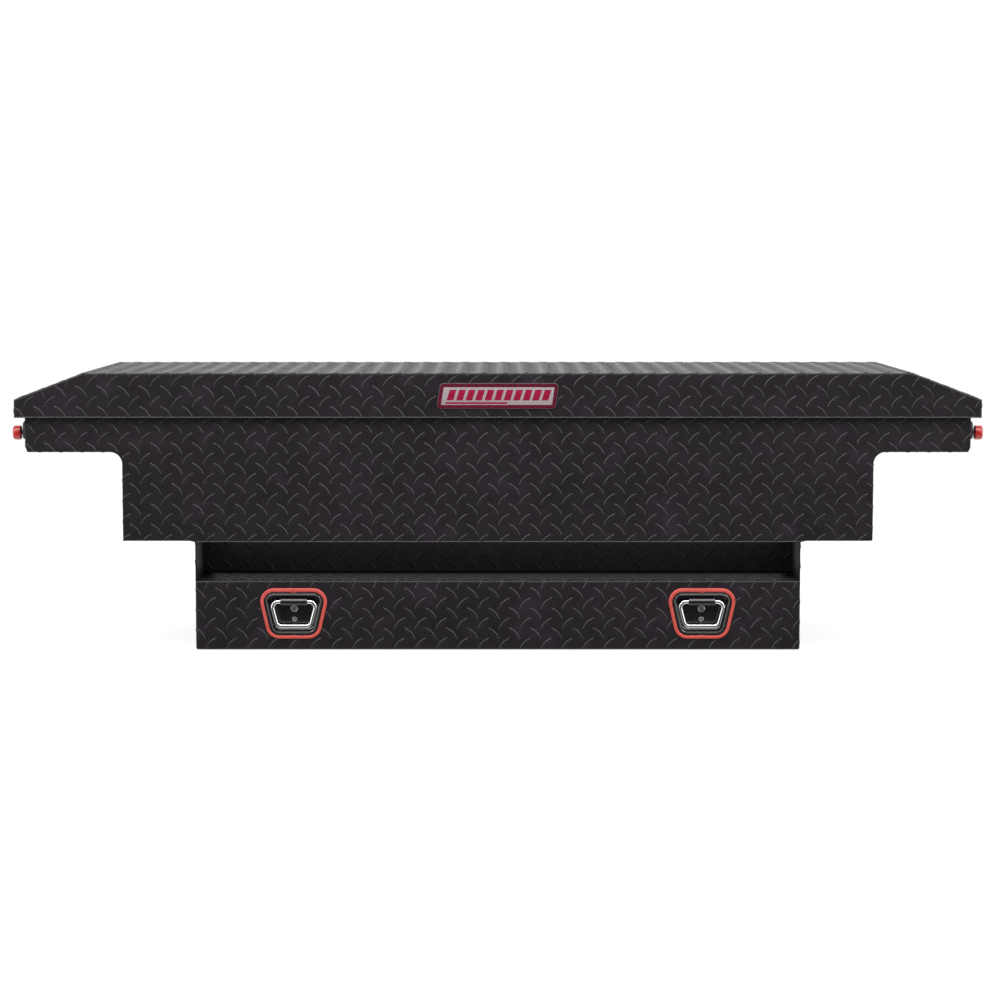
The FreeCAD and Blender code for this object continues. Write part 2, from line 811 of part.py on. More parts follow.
def make_button_spring(label, side):
    """Coil round the stem, between the wing's end and the back of the button."""
    low, high = sided(side, "wing_half + spring_gap", "button_back - spring_gap")
    turn = FreeCAD.Rotation(FreeCAD.Vector(0, 1, 0), 90)
    coil = doc.addObject("Part::Helix", label + "_coil")
    coil.Placement.Rotation = turn
    coil.setExpression("Placement.Base.x", bound("%s + spring_wire_r" % low))
    coil.setExpression("Placement.Base.y", bound("-button_y"))
    coil.setExpression("Placement.Base.z", bound("button_z"))
    coil.setExpression("Radius", bound("spring_r"))
    coil.setExpression("Pitch", bound("spring_pitch"))
    coil.setExpression("Height", bound("(%s) - (%s) - 2 * spring_wire_r" % (high, low)))
    doc.recompute()
    wire = doc.addObject("Part::Circle", label + "_wire")
    start = coil.Shape.Vertexes[0].Point
    wire.Placement = FreeCAD.Placement(start, FreeCAD.Rotation(FreeCAD.Vector(1, 0, 0), 90))
    wire.setExpression("Radius", bound("spring_wire_r"))
    spring = doc.addObject("Part::Sweep", label)
    spring.Sections = [wire]
    spring.Spine = (coil, ["Edge1"])
    spring.Solid = True
    spring.Frenet = True
    spring.Label = label
    sub_parts.append(spring)
    doc.recompute()


def make_latch_bracket(label, side):
    """Two ears on the wing floor with the lever's pivot pin between them."""
    body = new_body(label)
    floor = "wing_bottom + sheet"
    x_ends = sided(side, "lever_x - ear_half", "lever_x + ear_half")
    add_box(
        body,
        sided(side, "lever_x - bracket_half", "lever_x + bracket_half"),
        ("-button_y - ear_outer", "-button_y + ear_outer"),
        (floor, floor + " + thin"),
    )
    for low, high in (("-ear_outer", "-ear_inner"), ("ear_inner", "ear_outer")):
        add_box(body, x_ends, ("-button_y + (%s)" % low, "-button_y + (%s)" % high), (floor, "ear_top"))
    pin = ("-button_y - ear_outer", "-button_y + ear_outer")
    add_disc(body, "XZ_Plane", *pin, (signed(side, "lever_x"), "lever_z"), "lever_pin_r")


def make_latch_lever(label, side):
    """Lever with a hook at its top and a slot for the link rod."""
    body = new_body(label)
    low, high = "-button_y - lever_half_thick", "-button_y + lever_half_thick"
    outline = [
        ("lever_x - lever_half_wide", "lever_low"),
        ("lever_x + lever_half_wide", "lever_low"),
        ("lever_x + lever_half_wide", "lever_high"),
        ("nose_tip", "lever_high"),
        ("nose_tip", "nose_low"),
        ("arm_inner", "nose_low"),
        ("arm_inner", "lever_z + link_drop + lever_half_wide + 2"),
        ("lever_x - lever_half_wide", "lever_z + link_drop + lever_half_wide"),
    ]
    add_slab(body, "XZ_Plane", low, high, [(signed(side, across), up) for across, up in outline])
    pivot = (signed(side, "lever_x"), "lever_z")
    hub = ("-button_y - hub_half_long", "-button_y + hub_half_long")
    add_disc(body, "XZ_Plane", *hub, pivot, "lever_hub_r")
    cut_disc(body, "XZ_Plane", *hub, pivot, "lever_bore_r")
    link_z = "lever_z %s link_drop" % ("-" if side < 0 else "+")
    for shift in ("- link_slot_half", "+ link_slot_half"):
        spot = (signed(side, "lever_x"), "%s %s" % (link_z, shift))
        cut_disc(body, "XZ_Plane", low, high, spot, "link_slot_r")
    sides = [signed(side, "lever_x - link_slot_r"), signed(side, "lever_x + link_slot_r")]
    slot = rectangle(*sides, link_z + " - link_slot_half", link_z + " + link_slot_half")
    cut_slab(body, "XZ_Plane", low, high, slot)


def make_link_rod():
    """One long rod that carries either button's push to both levers."""
    body = new_body("link_rod")
    low, high = "lever_z - link_drop", "lever_z + link_drop"
    route = [("-rod_reach", low), ("-joggle_start", low), ("-joggle_end", high), ("rod_reach", high)]
    path = new_sketch(body, "XZ_Plane", "-button_y")
    points = [FreeCAD.Vector(number(across), number(up), 0) for across, up in route]
    for index in range(3):
        path.addGeometry(Part.LineSegment(points[index], points[index + 1]), False)
    for index in range(2):
        path.addConstraint(Sketcher.Constraint("Coincident", index, 2, index + 1, 1))
    for index in range(3):
        pin_point(path, index, 1, route[index])
    pin_point(path, 2, 2, route[3])
    section = new_sketch(body, "YZ_Plane", "-rod_reach")
    draw_circle(section, ("-button_y", low), "rod_r")
    doc.recompute()
    pipe = body.newObject("PartDesign::AdditivePipe", "rod_sweep")
    pipe.Profile = section
    pipe.Spine = path
    pipe.Transition = "Round corner"
    body.Tip = pipe
    doc.recompute()
    for side, level in ((-1, low), (1, high)):
        ends = sided(side, "rod_reach - 4", "fork_tip")
        thick = ("-button_y - fork_half_wide", "-button_y + fork_half_wide")
        tall = (level + " - fork_half_tall", level + " + fork_half_tall")
        add_box(body, ends, thick, tall)
        slot = sided(side, "fork_slot_start", "fork_tip")
        cut_box(body, slot, ("-button_y - fork_slot_half", "-button_y + fork_slot_half"), tall)
        add_disc(body, "XZ_Plane", *thick, (signed(side, "lever_x"), level), "link_pin_r")


def make_rod_guides():
    """Angle brackets on the front panel that carry the link rod."""
    body = new_body("rod_guides")
    level = "lever_z + link_drop"
    x_ends = ("-guide_step - thin / 2", "-guide_step + thin / 2")
    y_ends = ("-body_deep + sheet", "-body_deep + sheet + guide_reach")
    z_ends = (level + " - guide_half", level + " + guide_half")
    blade = add_box(body, x_ends, y_ends, z_ends)
    tab = add_box(body, ("-guide_step", "-guide_step + 16"), (y_ends[0], y_ends[0] + " + thin"), z_ends)
    bore = cut_disc(body, "YZ_Plane", *x_ends, ("-button_y", level), "guide_bore_r")
    repeat(body, [blade, tab, bore], "X_Axis", "2 * guide_step", "3")


def make_strikers():
    """Loops under the lid that the hooks hold."""
    body = new_body("lid_strikers")
    across = ("-button_y - striker_half", "-button_y + striker_half")
    face = ("striker_face - striker_thick", "striker_face")
    loop = add_box(body, face, across, ("striker_low", "pan_bottom"))
    foot = add_box(body, ("striker_face - 22", "striker_face"), across, ("pan_bottom - thin", "pan_bottom"))
    window = rectangle("-button_y - window_half", "-button_y + window_half", "window_low", "window_high")
    hole = cut_slab(body, "YZ_Plane", *face, window)
    mirror_all(body, [loop, foot, hole])


# ---- gas struts -----------------------------------------------------------------------------


def make_strut(side, name):
    """Cylinder with its lower eye, and the rod with its piston and upper eye."""
    x_ends = sided(side, "strut_x - eye_half", "strut_x + eye_half")
    centre = (signed(side, "strut_x"), "strut_y")
    foot = ("strut_y", "strut_foot_z")
    cylinder = new_body("strut_cylinder_" + name)
    add_disc(cylinder, "YZ_Plane", *x_ends, foot, "eye_r")
    neck = ("strut_foot_z + eye_r / 2", "strut_low")
    add_disc(cylinder, "XY_Plane", *neck, centre, "strut_rod_r")
    add_disc(cylinder, "XY_Plane", "strut_low", "strut_high", centre, "strut_r")
    cut_disc(cylinder, "XY_Plane", "strut_low + 3", "strut_high", centre, "strut_bore_r")
    gland = ("strut_high - 6", "strut_high")
    add_disc(cylinder, "XY_Plane", *gland, centre, "strut_bore_r + 0.5")
    cut_disc(cylinder, "XY_Plane", *gland, centre, "strut_rod_r + stud_clear")
    cut_disc(cylinder, "YZ_Plane", *x_ends, foot, "stud_r + stud_clear")

    rod = new_body("strut_rod_" + name)
    add_disc(rod, "XY_Plane", "strut_rod_low", "strut_head_z - eye_r / 2", centre, "strut_rod_r")
    piston = ("strut_rod_low", "strut_rod_low + piston_tall")
    add_disc(rod, "XY_Plane", *piston, centre, "piston_r")
    add_disc(rod, "YZ_Plane", *x_ends, ("strut_y", "strut_head_z"), "eye_r")


def make_strut_mounts():
    """Stud plates on the side walls and hangers under the lid pan."""
    feet = new_body("strut_feet")
    wall = "main_half - sheet"
    sides = rectangle(
        "strut_y - foot_plate_half",
        "strut_y + foot_plate_half",
        "strut_foot_z - foot_plate_half",
        "strut_foot_z + foot_plate_half",
    )
    plate = add_slab(feet, "YZ_Plane", wall + " - 2.6", wall, sides)
    stud = ("strut_x - eye_half - 1", wall + " - 2.6")
    pin = add_disc(feet, "YZ_Plane", *stud, ("strut_y", "strut_foot_z"), "stud_r")
    mirror_all(feet, [plate, pin])

    hangers = new_body("strut_hangers")
    near = "strut_x - eye_half - running_gap - 6"
    leg = (near, near + " + 3")
    outline = [
        ("strut_y - 9", "strut_head_z - 9"),
        ("strut_y + 9", "strut_head_z - 9"),
        ("strut_y + foot_plate_half", "pan_bottom"),
        ("strut_y - foot_plate_half", "pan_bottom"),
    ]
    blade = add_slab(hangers, "YZ_Plane", *leg, outline)
    deep = ("strut_y - foot_plate_half", "strut_y + foot_plate_half")
    foot = add_box(hangers, (near + " - 22", near + " + 3"), deep, ("pan_bottom - 3", "pan_bottom"))
    stud = (near + " + 3", "strut_x - eye_half - running_gap")
    pin = add_disc(hangers, "YZ_Plane", *stud, ("strut_y", "strut_head_z"), "stud_r")
    mirror_all(hangers, [blade, foot, pin])


# ---- drawer ---------------------------------------------------------------------------------


def handle_corners(side, inset):
    """The latch outline, wider at its top, moved inwards all round by the inset."""
    low = "(handle_low + %s)" % inset
    high = "(handle_high - %s)" % inset
    half = "(handle_low_half + handle_slope * (%s - handle_low) - handle_secant * %s)"
    half_low = half % (low, inset)
    half_high = half % (high, inset)
    middle = signed(side, "handle_x")
    return [
        ("%s - %s" % (middle, half_low), low),
        ("%s + %s" % (middle, half_low), low),
        ("%s + %s" % (middle, half_high), high),
        ("%s - %s" % (middle, half_high), high),
    ]


def round_handle(body, side, inset):
    """Round the outline's corners so that all the insets stay parallel."""
    corners = handle_corners(side, inset)
    round_edges(body, "Y", corners, "gasket_round - %s" % inset)


def make_drawer_front():
    """Folded front pan with a cut-out for each latch."""
    body = new_body("drawer_front")
    half = ("-unit_half", "unit_half")
    depth = ("-body_deep", "-body_deep + front_deep")
    add_slab(body, "XZ_Plane", *depth, rectangle(*half, "front_low", "deck_top"))
    base = [("-unit_half", "front_low"), ("unit_half", "front_low")]
    round_edges(body, "Y", base, "front_corner")
    front = "-body_deep"
    round_edges(body, "X", [(front, "deck_top"), (front, "front_low")], "bend")
    inner = rectangle("-unit_half + sheet", "unit_half - sheet", "front_low + sheet", "deck_top - sheet")
    cut_slab(body, "XZ_Plane", "-body_deep + sheet", "-body_deep + front_deep", inner)
    for side in (-1, 1):
        wall = ("-body_deep - 1", "-body_deep + sheet + 1")
        cut_slab(body, "XZ_Plane", *wall, handle_corners(side, "cutout_inset"))
        corners = handle_corners(side, "cutout_inset")
        round_edges(body, "Y", corners, "gasket_round - cutout_inset")


def make_drawer_tray():
    """Tray behind the front; its sides run forward to carry the front pan."""
    body = new_body("drawer_tray")
    whole = ("-body_deep + sheet", "tray_rear")
    add_box(body, ("-tray_half", "tray_half"), whole, ("tray_low", "tray_high"))
    inside = ("-tray_half + thin", "tray_half - thin")
    level = ("tray_low + thin", "tray_high")
    cut_box(body, inside, ("-tray_front + thin", "tray_rear - thin"), level)
    cut_box(body, inside, ("-body_deep + sheet", "-tray_front"), level)
    mat = new_body("drawer_mat")
    mat_level = ("tray_low + thin", "tray_low + thin + mat")
    mat_side = ("-tray_half + thin + mat_gap", "tray_half - thin - mat_gap")
    mat_deep = ("-tray_front + thin + mat_gap", "tray_rear - thin - mat_gap")
    add_box(mat, mat_side, mat_deep, mat_level)


def make_handle_gaskets():
    """Coloured ring round each latch."""
    body = new_body("handle_gaskets")
    depth = ("-body_deep - gasket_thick", "-body_deep")
    for side in (-1, 1):
        add_slab(body, "XZ_Plane", *depth, handle_corners(side, "0"))
        cut_slab(body, "XZ_Plane", *depth, handle_corners(side, "gasket_band"))
        round_handle(body, side, "gasket_band")
        round_handle(body, side, "0")


def make_handle_housing(label, side):
    """Recessed dish with the ring's pivot block, and the bolt's guide behind it."""
    body = new_body(label)
    middle = signed(side, "handle_x")
    flange = ("-body_deep - flange_thick", "-body_deep")
    add_slab(body, "XZ_Plane", *flange, handle_corners(side, "flange_inset"))
    add_slab(body, "XZ_Plane", "-body_deep", "-dish_back", handle_corners(side, "dish_inset"))
    hollow = handle_corners(side, "(dish_inset + dish_wall)")
    cut_slab(body, "XZ_Plane", "-body_deep - flange_thick", "-dish_floor", hollow)
    round_handle(body, side, "(dish_inset + dish_wall)")
    round_handle(body, side, "dish_inset")
    round_handle(body, side, "flange_inset")
    block = (middle + " - cap_half", middle + " + cap_half")
    heights = ("ring_top - cap_half_tall", "ring_top + cap_half_tall")
    add_box(body, block, ("-cap_front", "-dish_floor"), heights)
    ring_run = (middle + " - cap_half - 1", middle + " + cap_half + 1")
    cut_disc(body, "YZ_Plane", *ring_run, ("-ring_y", "ring_top"), "ring_bore_r")
    floor = ("-dish_floor - 1", "-dish_back + 1")
    cut_disc(body, "XZ_Plane", *floor, (middle, "lock_z"), "lock_bore_r")
    walls = (
        ("bolt_x - bolt_half - guide_wall - 0.3", "bolt_x - bolt_half - 0.3"),
        ("bolt_x + bolt_half + 0.3", "bolt_x + bolt_half + guide_wall + 0.3"),
    )
    for near, far in walls:
        ends = ("%s + %s" % (middle, near), "%s + %s" % (middle, far))
        add_box(body, ends, ("-dish_back", "-guide_back"), ("guide_low", "guide_high"))
    bridge = ("%s + %s" % (middle, walls[0][0]), "%s + %s" % (middle, walls[1][1]))
    add_box(body, bridge, ("-bolt_back + 0.3", "-guide_back"), ("guide_low + 4", "guide_high - 4"))


def make_pull_ring(label, side):
    """Bent wire ring that hangs from its top bar."""
    body = new_body(label)
    middle = signed(side, "handle_x")
    path = new_sketch(body, "XZ_Plane", "-ring_y")
    corners = [
        (middle + " - ring_top_half", "ring_top"),
        (middle + " + ring_top_half", "ring_top"),
        (middle + " + ring_bottom_half", "ring_bottom"),
        (middle + " - ring_bottom_half", "ring_bottom"),
    ]
    draw_polygon(path, corners)
    for index in range(4):
        path.fillet(index, 1, number("ring_round"))
    section = new_sketch(body, "YZ_Plane", middle)
    draw_circle(section, ("-ring_y", "ring_top"), "ring_wire_r")
    doc.recompute()
    pipe = body.newObject("PartDesign::AdditivePipe", label + "_sweep")
    pipe.Profile = section
    pipe.Spine = path
    body.Tip = pipe
    doc.recompute()


def make_slam_bolt(label, side):
    """Bolt that rises behind the deck's lip, with a sloping tip."""
    body = new_body(label)
    middle = signed(side, "handle_x")
    outline = [
        ("-bolt_front", "bolt_low"),
        ("-bolt_back", "bolt_low"),
        ("-bolt_back", "bolt_high - bolt_slope"),
        ("-bolt_back - bolt_slope", "bolt_high"),
        ("-bolt_front", "bolt_high"),
    ]
    ends = (middle + " + bolt_x - bolt_half", middle + " + bolt_x + bolt_half")
    add_slab(body, "YZ_Plane", *ends, outline)


def make_key_lock(label, side):
    """Keyed plug in the dish, with a cam behind it."""
    body = new_body(label)
    middle = signed(side, "handle_x")
    centre = (middle, "lock_z")
    add_disc(body, "XZ_Plane", "-lock_front", "-lock_back", centre, "lock_r")
    slot = (middle + " - keyway_half", middle + " + keyway_half")
    keyway = rectangle(*slot, "lock_z - keyway_reach", "lock_z + keyway_reach")
    cut_slab(body, "XZ_Plane", "-lock_front", "-lock_front + keyway_deep", keyway)
    arm_ends = (middle + " - cam_reach", middle + " + cam_half")
    arm = rectangle(*arm_ends, "lock_z - cam_half", "lock_z + cam_half")
    add_slab(body, "XZ_Plane", "-cam_front", "-cam_back", arm)


def make_handle_screws():
    """Screw under each lock that holds the dish."""
    body = new_body("handle_screws")
    for side in (-1, 1):
        centre = (signed(side, "handle_x"), "screw_z")
        face = "-dish_floor - screw_tall"
        add_disc(body, "XZ_Plane", face, "-dish_floor", centre, "screw_r")
        cut_disc(body, "XZ_Plane", face, face + " + screw_tall / 2", centre, "screw_socket_r")


# ---- parts tray -----------------------------------------------------------------------------


def make_tray_rails():
    """Angle rails on the front and rear panels."""
    body = new_body("tray_rails")
    ends = ("-main_half + sheet", "main_half - sheet")
    for way in (-1, 1):
        wall = "%d * (body_deep - sheet)" % way
        skirt = "%d * (body_deep - sheet - thin)" % way
        lip = "%d * (body_deep - sheet - rail_reach)" % way
        order = (lambda pair: pair) if way > 0 else (lambda pair: pair[::-1])
        add_box(body, ends, order((lip, wall)), ("rail_top - thin", "rail_top"))
        add_box(body, ends, order((skirt, wall)), ("rail_top - rail_drop", "rail_top"))


def make_parts_tray():
    """Lift-height tray that slides along the rails, with a grip slot in each end."""
    body = new_body("parts_tray")
    ends = ("-parts_left", "-parts_right")
    deep = ("-parts_deep", "parts_deep")
    add_box(body, ends, deep, ("parts_low", "parts_high"))
    middle = "(-parts_left - parts_right) / 2"
    hollows = (
        (ends[0] + " + thin", middle + " - thin / 2"),
        (middle + " + thin / 2", ends[1] + " - thin"),
    )
    for hollow in hollows:
        between = (deep[0] + " + thin", deep[1] + " - thin")
        cut_box(body, hollow, between, ("parts_low + thin", "parts_high"))
    grip = rectangle("-parts_grip_half", "parts_grip_half", "parts_grip_low", "parts_grip_high")
    cut_slab(body, "YZ_Plane", ends[0] + " - 1", ends[1] + " + 1", grip)


def build_all():
    header = [
        ("-unit_half - header_run", "main_bottom"),
        ("-unit_half", "header_bottom"),
        ("unit_half", "header_bottom"),
        ("unit_half + header_run", "main_bottom"),
    ]
    left_end, right_end = "-main_half + main_corner", "main_half - main_corner"
    make_tub_panel("tub_front_panel", -1, header, [(left_end, right_end)])
    beside_well = [(left_end, "-unit_half"), ("unit_half", right_end)]
    make_tub_panel("tub_rear_panel", 1, [], beside_well)
    make_tub_end("tub_end_left", -1)
    make_tub_end("tub_end_right", 1)
    make_tub_floor()
    make_well_pan()
    make_weather_seal()
    make_bay_side("bay_side_left", -1)
    make_bay_side("bay_side_right", 1)
    make_bay_sheets()
    make_slide_members()
    make_hinge()
    make_rivet_row(
        "hinge_rivets_tub",
        ("body_deep + leaf", "body_deep + leaf + rivet_tall"),
        ("body_deep - 1.5 * sheet", "body_deep + leaf"),
        "hinge_z - rivet_drop",
    )
    make_rivet_row(
        "hinge_rivets_lid",
        ("lid_deep", "lid_deep + rivet_tall"),
        ("lid_deep - 1.5 * sheet", "lid_deep"),
        "hinge_z + rivet_rise",
    )
    make_lid()
    make_badge()
    for side, name in ((-1, "left"), (1, "right")):
        make_push_button("push_button_" + name, side)
        make_button_spring("button_spring_" + name, side)
        make_latch_bracket("latch_bracket_" + name, side)
        make_latch_lever("latch_lever_" + name, side)
        make_strut(side, name)
        make_handle_housing("handle_housing_" + name, side)
        make_pull_ring("pull_ring_" + name, side)
        make_slam_bolt("slam_bolt_" + name, side)
        make_key_lock("key_lock_" + name, side)
    make_escutcheons()
    make_link_rod()
    make_rod_guides()
    make_strikers()
    make_strut_mounts()
    make_drawer_front()
    make_drawer_tray()
    make_handle_gaskets()
    make_handle_screws()
    make_tray_rails()
    make_parts_tray()


def check_all():
    """Stop on any failed object or any empty or invalid sub-part."""
    doc.recompute()
    for item in doc.Objects:
        if "Invalid" in item.State or "Error" in item.State:
            raise RuntimeError("failed object: " + item.Name)
    for body in sub_parts:
        if body.Shape.isNull() or not body.Shape.isValid() or not body.Shape.Solids:
            raise RuntimeError("bad shape: " + body.Label)


def export_all():
    os.makedirs("parts", exist_ok=True)
    for body in sub_parts:
        body.Shape.exportStep("parts/%s.step" % body.Label)
        box = body.Shape.BoundBox
        ends = (box.XMin, box.XMax, box.YMin, box.YMax, box.ZMin, box.ZMax)
        counts = (body.Label, len(body.Shape.Solids), body.Shape.Volume)
        print("%-22s solids %2d  volume %9.0f" % counts, end="")
        print("  X %.1f..%.1f  Y %.1f..%.1f  Z %.1f..%.1f" % ends)
    print(len(sub_parts), "sub-parts")


build_all()
check_all()
export_all()
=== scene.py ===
import itertools
import math

import bmesh
import bpy
import numpy as np
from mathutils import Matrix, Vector


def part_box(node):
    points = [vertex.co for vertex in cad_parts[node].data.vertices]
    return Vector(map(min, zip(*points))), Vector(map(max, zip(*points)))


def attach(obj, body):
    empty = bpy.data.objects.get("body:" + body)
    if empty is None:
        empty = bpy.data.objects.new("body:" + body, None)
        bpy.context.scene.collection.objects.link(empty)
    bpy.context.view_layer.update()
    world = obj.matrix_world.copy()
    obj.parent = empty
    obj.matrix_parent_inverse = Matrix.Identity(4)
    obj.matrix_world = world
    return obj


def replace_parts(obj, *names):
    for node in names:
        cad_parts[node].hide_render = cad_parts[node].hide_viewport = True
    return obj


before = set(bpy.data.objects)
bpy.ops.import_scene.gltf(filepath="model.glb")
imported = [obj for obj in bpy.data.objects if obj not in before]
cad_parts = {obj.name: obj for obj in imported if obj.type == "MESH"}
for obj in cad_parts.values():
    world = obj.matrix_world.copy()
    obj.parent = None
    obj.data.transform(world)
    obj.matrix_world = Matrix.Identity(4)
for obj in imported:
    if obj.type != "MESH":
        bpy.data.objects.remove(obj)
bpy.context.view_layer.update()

# Sizes in metres that the nodes' boxes can't give.
LID_SHOULDER = 0.475         # height where the lid's ends start to slope
LID_FLAT_HALF = 0.777        # half of the lid's level top
BEND = 0.003                 # outer radius of a sheet bend
WING_BEND = 0.023            # radius between the tub's side wall and its wing
WING_BOTTOM = 0.376
MAIN_HALF = 0.707            # half of the tub between its wings
MAIN_BOTTOM = 0.208
CLIP_ACROSS, CLIP_UP = 0.004, 0.010          # the clipped lower corners of the wings
CLAMP_X, CLAMP_Y = 0.800, 0.160
CLAMP_CLEAR = 0.008          # half of the bare square round each clamp hole

# Latches on the drawer: each is wider at its top.
HANDLE_X = 0.386
HANDLE_LOW_HALF = 0.0479
HANDLE_SLOPE = 0.2274        # how much the half-width grows for each metre up
HANDLE_ROUND = 0.026
GASKET_BAND = 0.008
DISH_DEEP = 0.0212           # from the housing's flange to the floor of its dish
BOLT_X, BOLT_HALF = 0.024, 0.008
GUIDE_LOW, GUIDE_HIGH = 0.080, 0.106
RING_WIRE = 0.004            # radius of the CAD ring's wire
RING_WIRE_SEEN = 0.0043
RING_RISE = 0.0018
RING_LOW_HALF, RING_HIGH_HALF = 0.0316, 0.0437
RING_ROUND = 0.011
LOCK_Z, SCREW_Z = 0.0774, 0.0565
LOCK_RIM = (                 # radius, and height above the lock's face
    (0.0052, 0.0),
    (0.0054, 0.0007),
    (0.0060, 0.0010),
    (0.0067, 0.0007),
    (0.0070, 0.0),
    (0.0061, -0.0004),
)
SCREW_RIM = (                # radius, and height above the screw's head
    (0.0027, 0.0),
    (0.0030, 0.0006),
    (0.0038, 0.0009),
    (0.0047, 0.0006),
    (0.0051, 0.0),
    (0.0039, -0.0004),
)

# Badge and buttons.
BADGE_LEAN = 0.0075
BADGE_ROUND = 0.0085
BADGE_OVERLAP = 0.0005       # the bars run this far under the badge
BUTTON_SETBACK = 0.0024      # the button stops this much short of the end of its box
BUTTON_CAP = 0.0150
STEM_RADIUS = 0.0040

# The tread: pointed bars in two leaning families, each in the gaps of the other.
PITCH = (0.0397, 0.0384)     # across and along the front
END_PITCH = PITCH[::-1]
LUG_LONG = 0.032
LUG_WIDE = 0.0080
LUG_TIP_TAPER = 2.4          # how much faster the tips draw in than the sides
LUG_STEPS = 14
LUG_RINGS = (                # inset and height of each ring of a bar
    (0.0, -0.00015),
    (0.00015, 0.00015),
    (0.0012, 0.00080),
    (0.0022, 0.00095),
)
LUG_CREASE = math.radians(18)
LEAST_CUT = 0.0008           # a bar with less than this inside the outline is left out
STRAIGHT = 1e-6              # a part of a section that turns less than this is flat
CUT_GRAIN, WELD_GRAIN = 1e-7, 2e-5
LID_PHASE = (0.013, 0.491)
TUB_PHASE = (0.031, 0.0378)
REAR_PHASE = (0.031, 0.034)
END_PHASE = (0.0, 0.01)
LEDGE_PHASE = (0.032, -0.2095)
DRAWER_PHASE = (0.032, 0.109)

SIDES = ((-1, "left"), (1, "right"))


# ---- materials ------------------------------------------------------------------------------


class Finish:
    """A material on one Principled shader, with patterns sized in the object's own metres."""

    def __init__(self, name, **sockets):
        self.material = bpy.data.materials.new(name)
        self.material.use_nodes = True
        self.tree = self.material.node_tree
        self.shader = self.tree.nodes["Principled BSDF"]
        for socket, value in sockets.items():
            self.shader.inputs[socket.replace("_", " ")].default_value = value
        self.place = self.tree.nodes.new("ShaderNodeTexCoord").outputs["Object"]
        self.normal = None

    def node(self, kind, inputs, output=0, **settings):
        made = self.tree.nodes.new(kind)
        for key, value in settings.items():
            setattr(made, key, value)
        for key, value in inputs.items():
            if isinstance(value, bpy.types.NodeSocket):
                self.tree.links.new(value, made.inputs[key])
            else:
                made.inputs[key].default_value = value
        return made.outputs[output]

    def clouds(self, size, detail=3.0, stretch=(1.0, 1.0, 1.0)):
        """Noise from 0 to 1 whose blotches are about size metres across, drawn out by stretch."""
        scale = [1.0 / (size * pull) for pull in stretch]
        place = self.node("ShaderNodeMapping", {"Vector": self.place, "Scale": scale})
        return self.node("ShaderNodeTexNoise", {"Vector": place, "Scale": 1.0, "Detail": detail})

    def cells(self, size):
        """Crystal-like patches about size metres across, each with its own value from 0 to 1."""
        inputs = {"Vector": self.place, "Scale": 1.0 / size}
        return self.node("ShaderNodeTexVoronoi", inputs, output=1)

    def spread(self, value, low, high, start=0.0, end=1.0):
        """The value from low to high made to run from start to end."""
        inputs = {"Value": value, "From Min": low, "From Max": high, "To Min": start, "To Max": end}
        return self.node("ShaderNodeMapRange", inputs)

    def times(self, first, second):
        return self.node("ShaderNodeMath", {0: first, 1: second}, operation="MULTIPLY")

    def blend(self, share, first, second):
        """From the first colour to the second as the share goes from 0 to 1."""
        first, second = (
            colour if isinstance(colour, bpy.types.NodeSocket) else (*colour, 1.0)
            for colour in (first, second)
        )
        inputs = {0: share, 6: first, 7: second}
        return self.node("ShaderNodeMix", inputs, output=2, data_type="RGBA")

    def bump(self, height, depth):
        """Raise the surface by the height pattern, depth metres from its 0 to its 1."""
        inputs = {"Height": height, "Strength": 1.0, "Distance": depth}
        if self.normal is not None:
            inputs["Normal"] = self.normal
        self.normal = self.node("ShaderNodeBump", inputs)

    def finish(self, colour=None, roughness=None):
        links = self.tree.links
        sources = {"Base Color": colour, "Roughness": roughness, "Normal": self.normal}
        for socket, source in sources.items():
            if source is not None:
                links.new(source, self.shader.inputs[socket])
        return self.material


def shade(colour, factor):
    return tuple(channel * factor for channel in colour)


def powder_coat(name, colour, rough, dust):
    """Satin black coat: orange peel, a fine grain, soft blotches of handling and a little dust."""
    coat = Finish(name, IOR=1.47)
    blotches = coat.clouds(0.18, 4.0)
    rubbed = coat.spread(coat.clouds(0.045, 5.0), 0.56, 0.72)
    base = coat.blend(coat.spread(blotches, 0.35, 0.65), shade(colour, 0.86), shade(colour, 1.14))
    base = coat.blend(coat.times(rubbed, dust), base, shade(colour, 2.6))
    coat.bump(coat.clouds(0.0016, 2.0), 0.000035)
    coat.bump(coat.clouds(0.0005, 1.0), 0.000016)
    roughness = coat.spread(coat.clouds(0.03, 4.0), 0.3, 0.7, rough - 0.04, rough + 0.05)
    return coat.finish(base, roughness)


def zinc_plate(name, colour, rough):
    """Plated steel: faint spangles, drawn streaks along X and duller patches."""
    metal = Finish(name, Metallic=1.0)
    spangle = metal.cells(0.006)
    base = metal.blend(metal.times(spangle, 0.5), shade(colour, 0.82), shade(colour, 1.1))
    dull = metal.spread(metal.clouds(0.02, 5.0), 0.55, 0.75)
    base = metal.blend(metal.times(dull, 0.4), base, shade(colour, 0.55))
    metal.bump(metal.clouds(0.0006, 2.0, (25.0, 1.0, 1.0)), 0.000012)
    roughness = metal.spread(metal.clouds(0.008, 4.0), 0.3, 0.7, rough - 0.06, rough + 0.1)
    return metal.finish(base, roughness)


def polished_metal(name, colour, rough):
    """Bright plating with hairline scuffs."""
    metal = Finish(name, Metallic=1.0)
    base = metal.blend(metal.clouds(0.01, 3.0), shade(colour, 0.93), colour)
    hairs = metal.clouds(0.0004, 2.0, (1.0, 1.0, 14.0))
    metal.bump(hairs, 0.000002)
    roughness = metal.spread(hairs, 0.4, 0.75, rough, rough + 0.07)
    return metal.finish(base, roughness)


